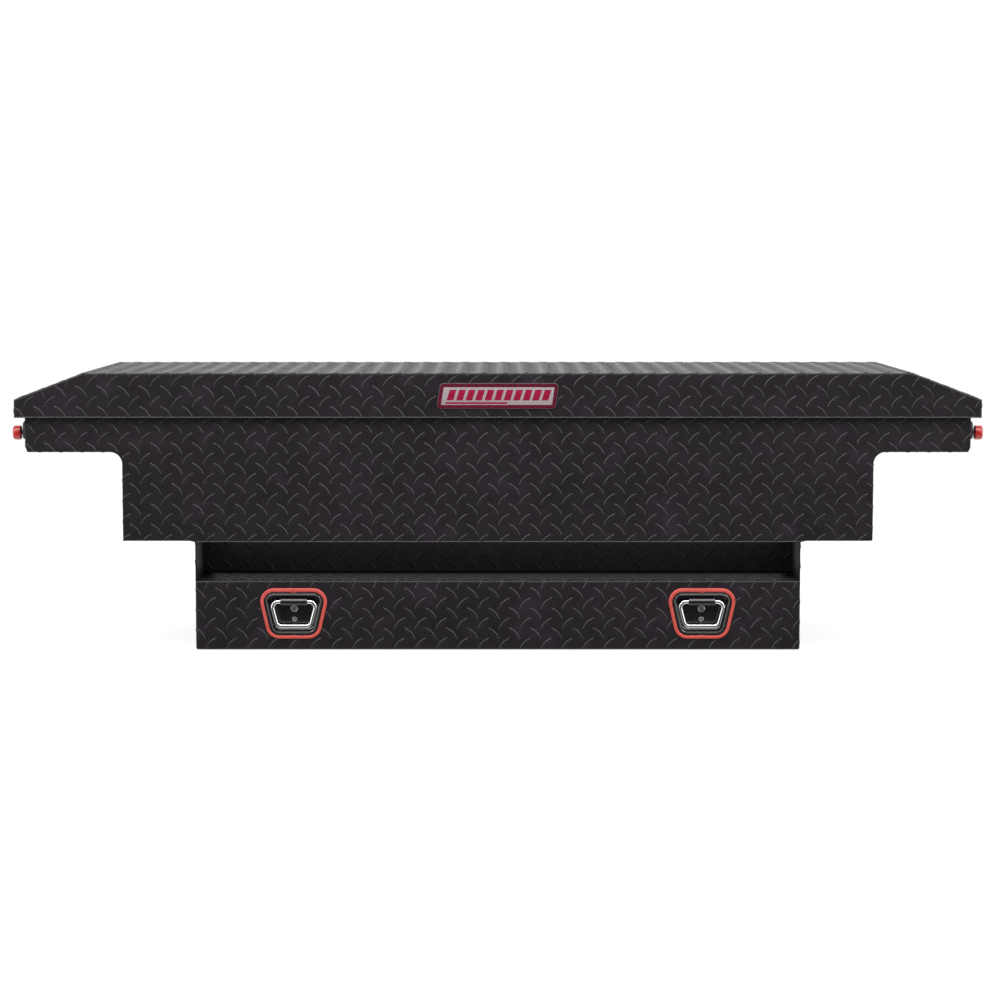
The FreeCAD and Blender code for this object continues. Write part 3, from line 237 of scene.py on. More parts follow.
def moulded_plastic(name, colour, rough, coat, grain):
    """Moulded plastic with a faint flow pattern, a fine grain and rubbed places."""
    plastic = Finish(name, IOR=1.5, Coat_Weight=coat, Coat_Roughness=0.08)
    flow = plastic.clouds(0.012, 3.0, (1.0, 1.0, 3.0))
    base = plastic.blend(flow, shade(colour, 0.88), shade(colour, 1.1))
    plastic.bump(plastic.clouds(0.0004, 2.0), grain)
    roughness = plastic.spread(plastic.clouds(0.006, 5.0), 0.35, 0.7, rough, rough + 0.12)
    return plastic.finish(base, roughness)


def soft_rubber(name, colour, rough):
    """Rubber with a pale bloom and a pebbled skin."""
    rubber = Finish(name, IOR=1.45)
    bloom = rubber.spread(rubber.clouds(0.009, 5.0), 0.45, 0.75)
    base = rubber.blend(rubber.times(bloom, 0.35), colour, shade(colour, 1.35))
    rubber.bump(rubber.clouds(0.0007, 2.0), 0.00004)
    roughness = rubber.spread(rubber.clouds(0.01, 3.0), 0.3, 0.7, rough - 0.08, rough + 0.06)
    return rubber.finish(base, roughness)


def brushed_metal(name, colour, rough):
    """Sheet brushed along X."""
    metal = Finish(name, Metallic=1.0)
    lines = metal.clouds(0.0005, 3.0, (40.0, 1.0, 1.0))
    base = metal.blend(lines, shade(colour, 0.85), shade(colour, 1.12))
    metal.bump(lines, 0.00001)
    roughness = metal.spread(lines, 0.3, 0.7, rough - 0.06, rough + 0.08)
    return metal.finish(base, roughness)


BLACK = (0.0108, 0.0080, 0.0113)
FINISHES = {
    "tread_sheet": powder_coat("black_tread_coat", BLACK, 0.40, 0.35),
    "plain_sheet": powder_coat("black_sheet_coat", BLACK, 0.44, 0.3),
    "lid_pan_sheet": powder_coat("black_pan_coat", shade(BLACK, 1.5), 0.5, 0.5),
    "zinc_steel": zinc_plate("zinc_plating", (0.55, 0.55, 0.56), 0.34),
    "spring_steel": brushed_metal("spring_wire", (0.42, 0.42, 0.44), 0.3),
    "chrome_trim": polished_metal("chrome_plating", (0.86, 0.87, 0.88), 0.06),
    "strut_paint": moulded_plastic("strut_gloss_paint", (0.012, 0.012, 0.013), 0.22, 0.6, 0.000003),
    "red_plastic": moulded_plastic("red_button_plastic", (0.56, 0.022, 0.018), 0.3, 0.5, 0.000004),
    "red_rubber": soft_rubber("red_gasket_rubber", (0.53, 0.072, 0.056), 0.55),
    "black_plastic": moulded_plastic(
        "black_housing_plastic", (0.010, 0.010, 0.011), 0.22, 0.4, 0.000004
    ),
    "seal_rubber": soft_rubber("black_seal_rubber", (0.016, 0.016, 0.017), 0.62),
    "mat_rubber": soft_rubber("black_mat_rubber", (0.024, 0.024, 0.025), 0.7),
    "badge_metal": brushed_metal("badge_silver", (0.40, 0.36, 0.38), 0.32),
    "badge_paint": moulded_plastic("badge_red_enamel", (0.27, 0.003, 0.034), 0.25, 0.5, 0.000003),
}
SILVER_FIELD = moulded_plastic("badge_silver_enamel", (0.32, 0.275, 0.29), 0.35, 0.2, 0.000003)
DARK_BORDER = moulded_plastic("badge_dark_enamel", (0.095, 0.002, 0.016), 0.25, 0.5, 0.000003)


# ---- mesh building --------------------------------------------------------------------------


def add_piece(name, body, slot, points, faces, crease=math.radians(40)):
    """A new mesh piece that rides on a body and takes its finish from a slot."""
    mesh = bpy.data.meshes.new(name)
    mesh.from_pydata([tuple(point) for point in points], [], faces)
    mesh.validate()
    mesh.shade_smooth()
    mesh.set_sharp_from_angle(angle=crease)
    piece = bpy.data.objects.new(name, mesh)
    bpy.context.scene.collection.objects.link(piece)
    piece.data.materials.append(FINISHES[slot])
    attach(piece, body)
    return piece


def face_outwards(piece):
    """Turn every closed shell's faces outwards."""
    mesh = bmesh.new()
    mesh.from_mesh(piece.data)
    bmesh.ops.recalc_face_normals(mesh, faces=mesh.faces[:])
    mesh.to_mesh(piece.data)
    mesh.free()
    return piece


def rounded_line(corners, radii, closed, steps=8, runs=1):
    """Points and headings along a line with arcs for corners; straight runs have equal parts."""
    corners = [Vector(corner) for corner in corners]
    count = len(corners)
    stations = []
    for index, corner in enumerate(corners):
        before = corner - corners[index - 1]
        after = corners[(index + 1) % count] - corner
        if not closed and index in (0, count - 1):
            way = after if index == 0 else before
            stations.append((corner, math.atan2(way.y, way.x)))
            continue
        start = math.atan2(before.y, before.x)
        turn = (math.atan2(after.y, after.x) - start + math.pi) % (2 * math.pi) - math.pi
        radius = math.copysign(radii[index], turn)
        begin = corner - before.normalized() * abs(radius * math.tan(turn / 2))
        centre = begin + radius * Vector((-math.sin(start), math.cos(start)))
        for step in range(steps + 1):
            heading = start + turn * step / steps
            point = centre - radius * Vector((-math.sin(heading), math.cos(heading)))
            stations.append((point, heading))
        if runs > 1:
            ahead = corners[(index + 1) % count]
            next_turn = (
                math.atan2(*reversed(corners[(index + 2) % count] - ahead))
                - math.atan2(after.y, after.x) + math.pi
            ) % (2 * math.pi) - math.pi
            trim = abs(radii[(index + 1) % count] * math.tan(next_turn / 2))
            end = ahead - after.normalized() * trim
            leave = stations[-1][0]
            for part in range(1, runs):
                stations.append((leave.lerp(end, part / runs), stations[-1][1]))
    return stations


def inset_corners(corners, inset):
    """A convex outline, anticlockwise, with every side moved in by the inset."""
    moved = []
    for index, corner in enumerate(corners):
        before = (Vector(corner) - Vector(corners[index - 1])).normalized()
        after = (Vector(corners[(index + 1) % len(corners)]) - Vector(corner)).normalized()
        inwards = Vector((-before.y - after.y, before.x + after.x))
        moved.append(Vector(corner) + inwards * inset / (1 + before.dot(after)))
    return moved


def inset_ring(corners, radius, inset, steps=8, runs=1):
    """A rounded outline moved in by the inset, as a list of plane points."""
    radii = [max(radius - inset, 0.0002)] * len(corners)
    line = rounded_line(inset_corners(corners, inset), radii, True, steps, runs)
    return [point for point, heading in line]


def loft(rings, around=False):
    """Points and faces through rings of equal length: round to the first ring, or capped."""
    count = len(rings[0])
    points = [point for ring in rings for point in ring]
    faces = []
    for level in range(len(rings) if around else len(rings) - 1):
        here = level * count
        above = (level + 1) % len(rings) * count
        for index in range(count):
            follower = (index + 1) % count
            faces.append((here + index, here + follower, above + follower, above + index))
    if not around:
        faces.append(tuple(reversed(range(count))))
        faces.append(tuple(range(len(points) - count, len(points))))
    return points, faces


def gather(shells):
    """Several lots of points and faces as one."""
    points, faces = [], []
    for more, sides in shells:
        faces += [tuple(place + len(points) for place in side) for side in sides]
        points += more
    return points, faces


# ---- tread ----------------------------------------------------------------------------------


def lug_template():
    """One closed bar along the first axis, standing on the plane of the sheet."""
    turns = np.arange(LUG_STEPS) * 2 * math.pi / LUG_STEPS
    rings = []
    for inset, height in LUG_RINGS:
        along = (LUG_LONG / 2 - LUG_TIP_TAPER * inset) * np.cos(turns)
        across = (LUG_WIDE / 2 - inset) * np.sin(turns) * np.abs(np.sin(turns))
        rings.append(np.column_stack([along, across, np.full(LUG_STEPS, height)]))
    points, faces = loft(rings)
    return np.array(points), faces


LUG_POINTS, LUG_FACES = lug_template()


class FoldedSheet:
    """The outer face of a sheet folded about the X or the Y axis.

    A place on the flat sheet is (across, along, height): across is the coordinate on the fold
    axis, along runs up the section from start, and height stands on the face.
    """

    def __init__(self, axis, corners, bends, outward, start=0.0):
        line = rounded_line(corners, [0.0, *bends, 0.0], False)
        section = np.array([point for point, heading in line])
        steps = np.linalg.norm(np.diff(section, axis=0), axis=1)
        self.axis = axis
        self.outward = outward
        self.along = start + np.concatenate([[0.0], np.cumsum(steps)])
        self.section = section
        self.headings = np.unwrap([heading for point, heading in line])
        steady = np.abs(np.diff(self.headings)) < STRAIGHT
        self.flats = [(self.along[i], self.along[i + 1]) for i in np.flatnonzero(steady)]

    def place(self, blank):
        """The space points of an array of places on the flat sheet."""
        along = blank[:, 1]
        heading = np.interp(along, self.along, self.headings)
        side = np.interp(along, self.along, self.section[:, 0])
        up = np.interp(along, self.along, self.section[:, 1])
        side = side - np.sin(heading) * self.outward * blank[:, 2]
        up = up + np.cos(heading) * self.outward * blank[:, 2]
        columns = (blank[:, 0], side, up) if self.axis == "X" else (side, blank[:, 0], up)
        return np.column_stack(columns)

    def mirrors(self):
        """True if the folding turns a right-handed bar into a left-handed one."""
        return (self.outward > 0) != (self.axis == "X")


def half_planes(outline):
    """A point and the inward direction for each side of a convex, anticlockwise outline."""
    planes = []
    for index, corner in enumerate(outline):
        way = np.subtract(outline[(index + 1) % len(outline)], corner)
        way = way / np.linalg.norm(way)
        planes.append((np.array(corner), np.array([-way[1], way[0]])))
    return planes


def cut_bar(points, faces, planes):
    """What is left of a bar inside the half-planes, closed again where it is cut."""
    shape = bmesh.new()
    corners = [shape.verts.new(point) for point in points]
    for face in faces:
        shape.faces.new([corners[index] for index in face])
    for origin, inward in planes:
        geometry = shape.verts[:] + shape.edges[:] + shape.faces[:]
        cut = bmesh.ops.bisect_plane(
            shape, geom=geometry, dist=CUT_GRAIN, clear_inner=True,
            plane_co=(*origin, 0.0), plane_no=(*inward, 0.0),
        )
        rim = [item for item in cut["geom_cut"] if isinstance(item, bmesh.types.BMEdge)]
        if rim:
            bmesh.ops.contextual_create(shape, geom=rim)
        if not shape.faces:
            break
    bmesh.ops.dissolve_degenerate(shape, dist=WELD_GRAIN, edges=shape.edges[:])
    shape.verts.index_update()
    left = [tuple(vert.co) for vert in shape.verts]
    kept = [tuple(vert.index for vert in face.verts) for face in shape.faces]
    shape.free()
    return np.array(left).reshape(-1, 3), kept


def cover_planes(centre, cover):
    """The one side of a cover that a bar beside it is cut along, or None for a bar under it."""
    planes = half_planes(cover)
    depths = [np.dot(centre - origin, inward) for origin, inward in planes]
    origin, inward = planes[depths.index(min(depths))]
    return None if min(depths) > 0 else [(origin, -inward)]


def bars_in(outline, flat, phase, pitch, lean, covers):
    """The bars in a convex outline on one flat of the sheet, cut at its sides and the covers."""
    planes = half_planes(outline)
    for level, up in zip(flat, (1.0, -1.0)):
        planes.append((np.array([0.0, level]), np.array([0.0, up])))
    low, high = np.min(outline, axis=0), np.max(outline, axis=0)
    low[1], high[1] = max(low[1], flat[0]), min(high[1], flat[1])
    if low[1] >= high[1]:
        return
    first = np.floor((low - phase) / pitch) - 1
    last = np.ceil((high - phase) / pitch) + 1
    for family, slant in ((0.0, lean), (0.5, -lean)):
        turn = np.array([[1.0, slant], [-slant, 1.0]]) / math.sqrt(2)
        for row in np.arange(first[1], last[1]) + family:
            for column in np.arange(first[0], last[0]) + family:
                centre = phase + np.array([column, row]) * pitch
                points = LUG_POINTS.copy()
                points[:, :2] = points[:, :2] @ turn + centre
                crossed = []
                reach = LUG_LONG / 2
                for origin, inward in planes:
                    depths = (points[:, :2] - origin) @ inward
                    if depths.min() < 0:
                        crossed.append((origin, inward, depths.max()))
                if any(depth <= LEAST_CUT for origin, inward, depth in crossed):
                    continue
                cuts = [(origin, inward) for origin, inward, depth in crossed]
                hidden = False
                for cover in covers:
                    nearest = np.clip(centre, np.min(cover, axis=0), np.max(cover, axis=0))
                    if np.abs(centre - nearest).max() > reach:
                        continue
                    cut = cover_planes(centre, cover)
                    hidden = hidden or cut is None
                    cuts += cut or []
                if hidden:
                    continue
                yield cut_bar(points, LUG_FACES, cuts) if cuts else (points, LUG_FACES)


def add_tread(name, body, sheet, outlines, phase, lean=-1, pitch=PITCH, covers=()):
    """A sheet's tread as one piece of closed bars, sunk slightly into the face."""
    points, faces, count = [], [], 0
    phase, pitch = np.array(phase), np.array(pitch)
    for outline, flat in itertools.product(outlines, sheet.flats):
        for bar, bar_faces in bars_in(outline, flat, phase, pitch, lean, covers):
            if not len(bar):
                continue
            points.append(bar)
            faces += [tuple(index + count for index in face) for face in bar_faces]
            count += len(bar)
    if sheet.mirrors():
        faces = [tuple(reversed(face)) for face in faces]
    placed = sheet.place(np.concatenate(points))
    return add_piece(name, body, "tread_sheet", placed, faces, LUG_CREASE)


def block(low_across, high_across, low_along, high_along):
    """A rectangle's corners, anticlockwise."""
    return [
        (low_across, low_along),
        (high_across, low_along),
        (high_across, high_along),
        (low_across, high_along),
    ]


lid_low, lid_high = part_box("lid_skin")
tub_low, tub_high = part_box("tub_front_panel")
bay_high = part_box("bay_rear_panel")[1]
deck_low, deck_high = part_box("bay_deck")
well_low, well_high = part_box("well_pan")
drawer_low, drawer_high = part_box("drawer_front")
gasket_low, gasket_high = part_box("handle_gaskets")
plate_low, plate_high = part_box("button_escutcheons")
leaf_tub_low, leaf_tub_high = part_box("hinge_leaf_tub")
leaf_lid_low, leaf_lid_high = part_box("hinge_leaf_lid")
badge_low, badge_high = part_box("badge_plate")
FACE = tub_low.y                       # the tub's and the drawer's front plane
REAR = -FACE
HANDLE_LOW, HANDLE_HIGH = gasket_low.z, gasket_high.z


def handle_corners(middle):
    """The latch outline with sharp corners, anticlockwise, in X and Z."""
    high_half = HANDLE_LOW_HALF + HANDLE_SLOPE * (HANDLE_HIGH - HANDLE_LOW)
    return [
        (middle - HANDLE_LOW_HALF, HANDLE_LOW),
        (middle + HANDLE_LOW_HALF, HANDLE_LOW),
        (middle + high_half, HANDLE_HIGH),
        (middle - high_half, HANDLE_HIGH),
    ]


def badge_corners():
    """The badge's outline with sharp corners, anticlockwise, in X and Z."""
    half = badge_high.x - BADGE_LEAN / 2
    return [
        (-half - BADGE_LEAN / 2, badge_low.z),
        (half - BADGE_LEAN / 2, badge_low.z),
        (half + BADGE_LEAN / 2, badge_high.z),
        (-half + BADGE_LEAN / 2, badge_high.z),
    ]


def tread_lid():
    """Skirt, top and rear of the lid as one folded sheet, and each end as another."""
    section = [
        (lid_low.y, lid_low.z),
        (lid_low.y, lid_high.z),
        (lid_high.y, lid_high.z),
        (lid_high.y, lid_low.z),
    ]
    wrap = FoldedSheet("X", section, [BEND, BEND], 1, start=lid_low.z)
    length = wrap.along[-1]
    top = lid_high.z - BEND / 2
    middle = block(-LID_FLAT_HALF, LID_FLAT_HALF, lid_low.z, length)
    front, rear = [middle], []
    for side in (-1, 1):
        near, far = side * LID_FLAT_HALF, side * (lid_high.x - BEND)
        skirt = [
            (near, lid_low.z),
            (far, lid_low.z),
            (far, LID_SHOULDER - BEND),
            (near, top - BEND),
        ]
        back = [(across, length + lid_low.z - along) for across, along in reversed(skirt)]
        front.append(skirt if side > 0 else skirt[::-1])
        rear.append(back if side > 0 else back[::-1])
    leaf_top = length + lid_low.z - leaf_lid_high.z
    under_leaf = block(leaf_lid_low.x, leaf_lid_high.x, leaf_top, length + BEND)
    under_badge = [tuple(corner) for corner in inset_corners(badge_corners(), BADGE_OVERLAP)]
    covers = [under_badge, under_leaf]
    add_tread("lid_tread_bars", "lid", wrap, front + rear, LID_PHASE, covers=covers)
    for side, word in SIDES:
        section = [
            (side * lid_high.x, lid_low.z),
            (side * lid_high.x, LID_SHOULDER),
            (side * LID_FLAT_HALF, lid_high.z),
        ]
        end = FoldedSheet("Y", section, [BEND], -side)
        last = end.along[-1]
        to_front = (length + lid_low.z) / 2
        spot = (LID_PHASE[1] - to_front, last - side * LID_PHASE[0] + LID_FLAT_HALF)
        area = block(lid_low.y + BEND, lid_high.y - BEND, 0.0, last)
        add_tread("lid_%s_end_tread_bars" % word, "lid", end, [area], spot, side, END_PITCH)


def tread_tub():
    """Front and rear faces and the folded ends with their wing floors."""
    wing = tub_high.x
    header = [
        (-wing + CLIP_ACROSS, WING_BOTTOM),
        (wing - CLIP_ACROSS, WING_BOTTOM),
        (wing, WING_BOTTOM + CLIP_UP),
        (wing, tub_high.z - BEND),
        (-wing, tub_high.z - BEND),
        (-wing, WING_BOTTOM + CLIP_UP),
    ]
    main = block(-MAIN_HALF, MAIN_HALF, MAIN_BOTTOM, WING_BOTTOM)
    front = FoldedSheet("X", [(FACE, MAIN_BOTTOM), (FACE, tub_high.z)], [], 1, MAIN_BOTTOM)
    add_tread("tub_front_tread_bars", "tub", front, [header, main], TUB_PHASE)
    rear = FoldedSheet("X", [(REAR, MAIN_BOTTOM), (REAR, tub_high.z)], [], -1, MAIN_BOTTOM)
    under_leaf = block(leaf_tub_low.x, leaf_tub_high.x, leaf_tub_low.z, tub_high.z)
    add_tread("tub_rear_tread_bars", "tub", rear, [header, main], REAR_PHASE, covers=[under_leaf])
    for side, word in SIDES:
        section = [
            (side * MAIN_HALF, MAIN_BOTTOM),
            (side * MAIN_HALF, WING_BOTTOM),
            (side * (wing - CLIP_ACROSS), WING_BOTTOM),
            (side * wing, WING_BOTTOM + CLIP_UP),
            (side * wing, tub_high.z),
        ]
        end = FoldedSheet("Y", section, [WING_BEND, BEND, BEND], -side)
        last = end.along[-1]
        area = block(FACE + BEND, REAR - BEND, 0.0, last - BEND)
        plate_end = last - (tub_high.z - plate_high.z)
        plate_start = plate_end - (plate_high.z - plate_low.z)
        plate = block(plate_low.y, plate_high.y, plate_start, plate_end)
        floor_start = WING_BOTTOM - MAIN_BOTTOM - WING_BEND * (2 - math.pi / 2)
        clamp = floor_start + CLAMP_X - MAIN_HALF
        holes = [
            block(y - CLAMP_CLEAR, y + CLAMP_CLEAR, clamp - CLAMP_CLEAR, clamp + CLAMP_CLEAR)
            for y in (-CLAMP_Y, CLAMP_Y)
        ]
        name = "tub_%s_end_tread_bars" % word
        add_tread(name, "tub", end, [area], END_PHASE, side, END_PITCH, [plate, *holes])


def tread_bay():
    """Recess wall, ledge, rear and sides of the lower unit."""
    half = bay_high.x
    inner = deck_high.x
    section = [(well_low.y, well_low.z), (well_low.y, well_high.z)]
    wall = FoldedSheet("X", section, [], 1, well_low.z)
    area = block(-inner, inner, well_low.z + BEND, MAIN_BOTTOM)
    add_tread("recess_tread_bars", "tub", wall, [area], REAR_PHASE)
    section = [(deck_low.y, deck_high.z), (well_low.y, deck_high.z)]
    ledge = FoldedSheet("X", section, [], 1, deck_low.y)
    area = block(-inner, inner, deck_low.y + BEND / 2, well_low.y)
    add_tread("ledge_tread_bars", "tub", ledge, [area], LEDGE_PHASE)
    rear = FoldedSheet("X", [(REAR, 0.0), (REAR, bay_high.z)], [], -1)
    area = block(-half, half, 0.0, bay_high.z)
    add_tread("bay_rear_tread_bars", "tub", rear, [area], REAR_PHASE)
    for side, word in SIDES:
        end = FoldedSheet("Y", [(side * half, 0.0), (side * half, bay_high.z)], [], -side)
        lower = block(deck_low.y, REAR - BEND, 0.0, deck_high.z)
        upper = block(FACE + BEND, REAR - BEND, deck_high.z, bay_high.z)
        add_tread("bay_%s_tread_bars" % word, "tub", end, [lower, upper], END_PHASE, side)


def tread_drawer():
    """Front pan, over its top bend to the flange that continues the ledge."""
    section = [(FACE, drawer_low.z), (FACE, drawer_high.z), (drawer_high.y, drawer_high.z)]
    front = FoldedSheet("X", section, [BEND], 1, drawer_low.z)
    area = block(drawer_low.x, drawer_high.x, drawer_low.z + BEND, front.along[-1])
    covers = []
    for side in (-1, 1):
        middle = inset_corners(handle_corners(side * HANDLE_X), GASKET_BAND / 2)
        covers.append([tuple(corner) for corner in middle])
    add_tread("drawer_tread_bars", "drawer", front, [area], DRAWER_PHASE, covers=covers)


# ---- latches, badge and soft parts -----------------------------------------------------------


def across_y(ring, y):
    """An outline in X and Z stood on a plane across Y."""
    return [(point[0], y, point[1]) for point in ring]


def add_gasket(side, word):
    """Rounded rubber band round a latch, full at its top and slimmer below, with two small nibs."""
    middle = side * HANDLE_X
    corners = handle_corners(middle)
    proud = gasket_low.y - FACE
    nib_half, nib_reach = 0.0065, 0.0018
    slim, slim_below, slim_fade = 0.82, 0.7, 0.2
    profile = (              # inset, and share of the band's thickness
        (0.0, 0.0),
        (0.0002, 0.55),
        (0.0014, 0.9),
        (0.0040, 1.0),
        (0.0066, 0.9),
        (0.0078, 0.55),
        (0.0080, 0.0),
    )
    rings = []
    for inset, share in profile:
        ring = inset_ring(corners, HANDLE_ROUND, inset, steps=10, runs=24)
        slim_ring = inset_ring(corners, HANDLE_ROUND, inset * slim, steps=10, runs=24)
        moved = []
        inner = max(inset - GASKET_BAND / 2, 0.0) / (GASKET_BAND / 2)
        for full_point, slim_point in zip(ring, slim_ring):
            level = (full_point.y - HANDLE_LOW) / (HANDLE_HIGH - HANDLE_LOW)
            fullness = min(max((level - slim_below) / slim_fade, 0.0), 1.0)
            point = slim_point.lerp(full_point, fullness)
            off = abs(point.x - middle) / nib_half
            if off < 1:
                nib = nib_reach * inner * math.cos(off * math.pi / 2) ** 2
                towards = 1 if point.y < (HANDLE_LOW + HANDLE_HIGH) / 2 else -1
                point = Vector((point.x, point.y + towards * nib))
            moved.append(point)
        rings.append(across_y(moved, FACE + proud * share))
    gasket = add_piece(word + "_gasket", "drawer", "red_rubber", *loft(rings, around=True))
    return face_outwards(gasket)


def circle(radius, parts):
    """Points of a circle round the origin of a plane."""
    turns = [part * 2 * math.pi / parts for part in range(parts)]
    return [(radius * math.cos(turn), radius * math.sin(turn)) for turn in turns]


def tube_rings(path, radius, level):
    """Circles round a closed line in X and Z that lies at a level of Y."""
    rings = []
    for point, heading in path:
        ring = []
        for out, away in circle(radius, 16):
            x = point.x + out * math.sin(heading)
            z = point.y - out * math.cos(heading)
            ring.append((x, level + away, z))
        rings.append(ring)
    return rings


def add_pull_ring(side, word):
    """Chromed D ring of bent wire, on the axis of the pull ring it stands for."""
    low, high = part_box("pull_ring_" + word)
    middle = side * HANDLE_X
    level = (low.y + high.y) / 2
    top = high.z - RING_WIRE
    bottom = low.z + RING_WIRE + RING_RISE
    corners = [
        (middle - RING_LOW_HALF, bottom),
        (middle + RING_LOW_HALF, bottom),
        (middle + RING_HIGH_HALF, top),
        (middle - RING_HIGH_HALF, top),
    ]
    path = rounded_line(corners, [RING_ROUND] * len(corners), True, 10)
    tube = loft(tube_rings(path, RING_WIRE_SEEN, level), around=True)
    ring = add_piece(word + "_wire_ring", "ring_" + word, "chrome_trim", *tube)
    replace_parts(face_outwards(ring), "pull_ring_" + word)


def dish_shell(middle, flange):
    """Dish with a flange and a raised edge, closed at its floor and across its back."""
    floor = flange + DISH_DEEP
    profile = (              # inset from the latch's outline, and Y
        (0.0128, floor + 0.0020),
        (0.0128, FACE),
        (0.0069, FACE),
        (0.0069, flange + 0.0004),
        (0.0073, flange),
        (0.0104, flange),
        (0.0116, flange - 0.0007),
        (0.0121, flange - 0.0007),
        (0.0137, flange + 0.0002),
        (0.0142, flange + 0.0012),
        (0.0150, floor - 0.0030),
        (0.0156, floor - 0.0010),
        (0.0172, floor),
    )
    corners = handle_corners(middle)
    rings = [across_y(inset_ring(corners, HANDLE_ROUND, inset, 10), y) for inset, y in profile]
    return loft(rings)


def pivot_cap_shell(middle, flange, axis):
    """Block across the dish that holds the ring, with a bevelled front and bevelled ends."""
    front, back = flange - 0.0001, flange + DISH_DEEP + 0.0005
    tall, shoulder, drop = 0.0058, 0.0027, 0.0018
    half, bevel = 0.0254, 0.0006
    end_inset = 0.0007
    outline = [              # Y and Z
        (front, axis - shoulder),
        (front + drop, axis - tall),
        (back, axis - tall),
        (back, axis + tall),
        (front + drop, axis + tall),
        (front, axis + shoulder),
    ]
    ends = ((-half, end_inset), (bevel - half, 0.0), (half - bevel, 0.0), (half, end_inset))
    rings = []
    for out, inset in ends:
        ring = reversed(inset_corners(outline, inset))
        rings.append([(middle + out, point.x, point.y) for point in ring])
    return loft(rings)


def bolt_guide_shell(centre, bolt_low, bolt_high):
    """Square sleeve round one of the slam bolt's legs."""
    gap, wall = 0.0003, 0.0020
    reach = BOLT_HALF + gap
    hole = block(centre - reach, centre + reach, bolt_low.y - gap, bolt_high.y + gap)
    rings = []
    for inset, z in ((-wall, GUIDE_LOW), (-wall, GUIDE_HIGH), (0.0, GUIDE_HIGH), (0.0, GUIDE_LOW)):
        rings.append([(point.x, point.y, z) for point in inset_corners(hole, inset)])
    return loft(rings, around=True)


def add_housing(side, word):
    """Moulded latch housing: the dish, the ring's pivot cap and the bolt's guides behind it."""
    middle = side * HANDLE_X
    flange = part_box("handle_housing_" + word)[0].y
    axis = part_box("pull_ring_" + word)[1].z - RING_WIRE
    bolt_low, bolt_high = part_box("slam_bolt_" + word)
    shells = [dish_shell(middle, flange), pivot_cap_shell(middle, flange, axis)]
    shells += [bolt_guide_shell(middle + place, bolt_low, bolt_high) for place in (-BOLT_X, BOLT_X)]
    crease = math.radians(24)
    housing = add_piece(word + "_latch_housing", "drawer", "black_plastic", *gather(shells), crease)
    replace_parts(face_outwards(housing), "handle_housing_" + word)


def add_rims(side, word):
    """Rolled rim round the lock plug and another on the screw below it."""
    middle = side * HANDLE_X
    lock_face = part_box("key_lock_" + word)[0].y
    screw_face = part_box("handle_screws")[0].y
    for name, body, height, face, profile in (
        ("lock_rim", "lock_" + word, LOCK_Z, lock_face, LOCK_RIM),
        ("screw_rim", "drawer", SCREW_Z, screw_face, SCREW_RIM),
    ):
        rings = []
        for radius, rise in profile:
            ring = circle(radius, 28)
            rings.append([(middle + x, face - rise, height + z) for x, z in ring])
        rim = add_piece("%s_%s" % (word, name), body, "zinc_steel", *loft(rings, around=True))
        face_outwards(rim)


def add_badge():
    """Silver plate with a bevelled edge, a dark red border, a silver field and red lozenges."""
    corners = badge_corners()
    back, front = badge_high.y, badge_low.y
    panel_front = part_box("badge_panel")[0].y
    plate_rings = ((0.0, back), (0.0, front + 0.0010), (0.0005, front + 0.0002), (0.0014, front))
    rings = [across_y(inset_ring(corners, BADGE_ROUND, inset), y) for inset, y in plate_rings]
    plate = face_outwards(add_piece("badge_rim_plate", "lid", "badge_metal", *loft(rings)))
    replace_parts(plate, "badge_plate")
    border_rings = (
        (0.0013, front + 0.0002),
        (0.0013, panel_front + 0.0004),
        (0.0017, panel_front),
        (0.0076, panel_front),
        (0.0079, panel_front + 0.0003),
    )
    rings = [across_y(inset_ring(corners, BADGE_ROUND, inset), y) for inset, y in border_rings]
    border = face_outwards(add_piece("badge_border", "lid", "badge_paint", *loft(rings)))
    border.data.materials[0] = DARK_BORDER
    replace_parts(border, "badge_panel")
    field_y = panel_front + 0.00015
    field_rings = ((0.0080, field_y + 0.0004), (0.0080, field_y + 0.0001), (0.0083, field_y))
    rings = [across_y(inset_ring(corners, BADGE_ROUND, inset), y) for inset, y in field_rings]
    field = face_outwards(add_piece("badge_field", "lid", "badge_metal", *loft(rings)))
    field.data.materials[0] = SILVER_FIELD
    add_lozenges(corners, field_y)


def add_lozenges(corners, field_y):
    """A row of leaning lozenges across the badge's field, with a plain line below them."""
    count = 11
    left, right = corners[0][0] + 0.016, corners[1][0] - 0.012
    low, high = corners[0][1] + 0.0165, corners[2][1] - 0.0125
    pitch = (right - left) / count
    wide = pitch * 0.7
    lean = BADGE_LEAN * (high - low) / (corners[2][1] - corners[0][1]) * 2
    shapes = []
    for index in range(count):
        start = left + index * pitch + BADGE_LEAN / 2
        end = start + wide
        shapes.append([(start, low), (end, low), (end + lean, high), (start + lean, high)])
    line_low, line_high = low - 0.0066, low - 0.0032
    line_start, line_end = left + BADGE_LEAN / 4, left + (right - left) * 0.6
    shapes.append(block(line_start, line_end, line_low, line_high))
    levels = ((0.0, field_y + 0.0001), (0.0, field_y - 0.0001), (0.0003, field_y - 0.0002))
    corner_round = 0.0008
    shells = []
    for shape in shapes:
        rings = [across_y(inset_ring(shape, corner_round, inset, 3), y) for inset, y in levels]
        shells.append(loft(rings))
    face_outwards(add_piece("badge_lozenges", "lid", "badge_paint", *gather(shells)))


def turned(profile, side, centre):
    """Points and faces of a shape turned about a line along X, from (reach, radius) pairs."""
    rings = []
    for reach, radius in profile:
        ring = circle(radius, 32)
        rings.append([(side * reach, centre.y + y, centre.z + z) for y, z in ring])
    return loft(rings)


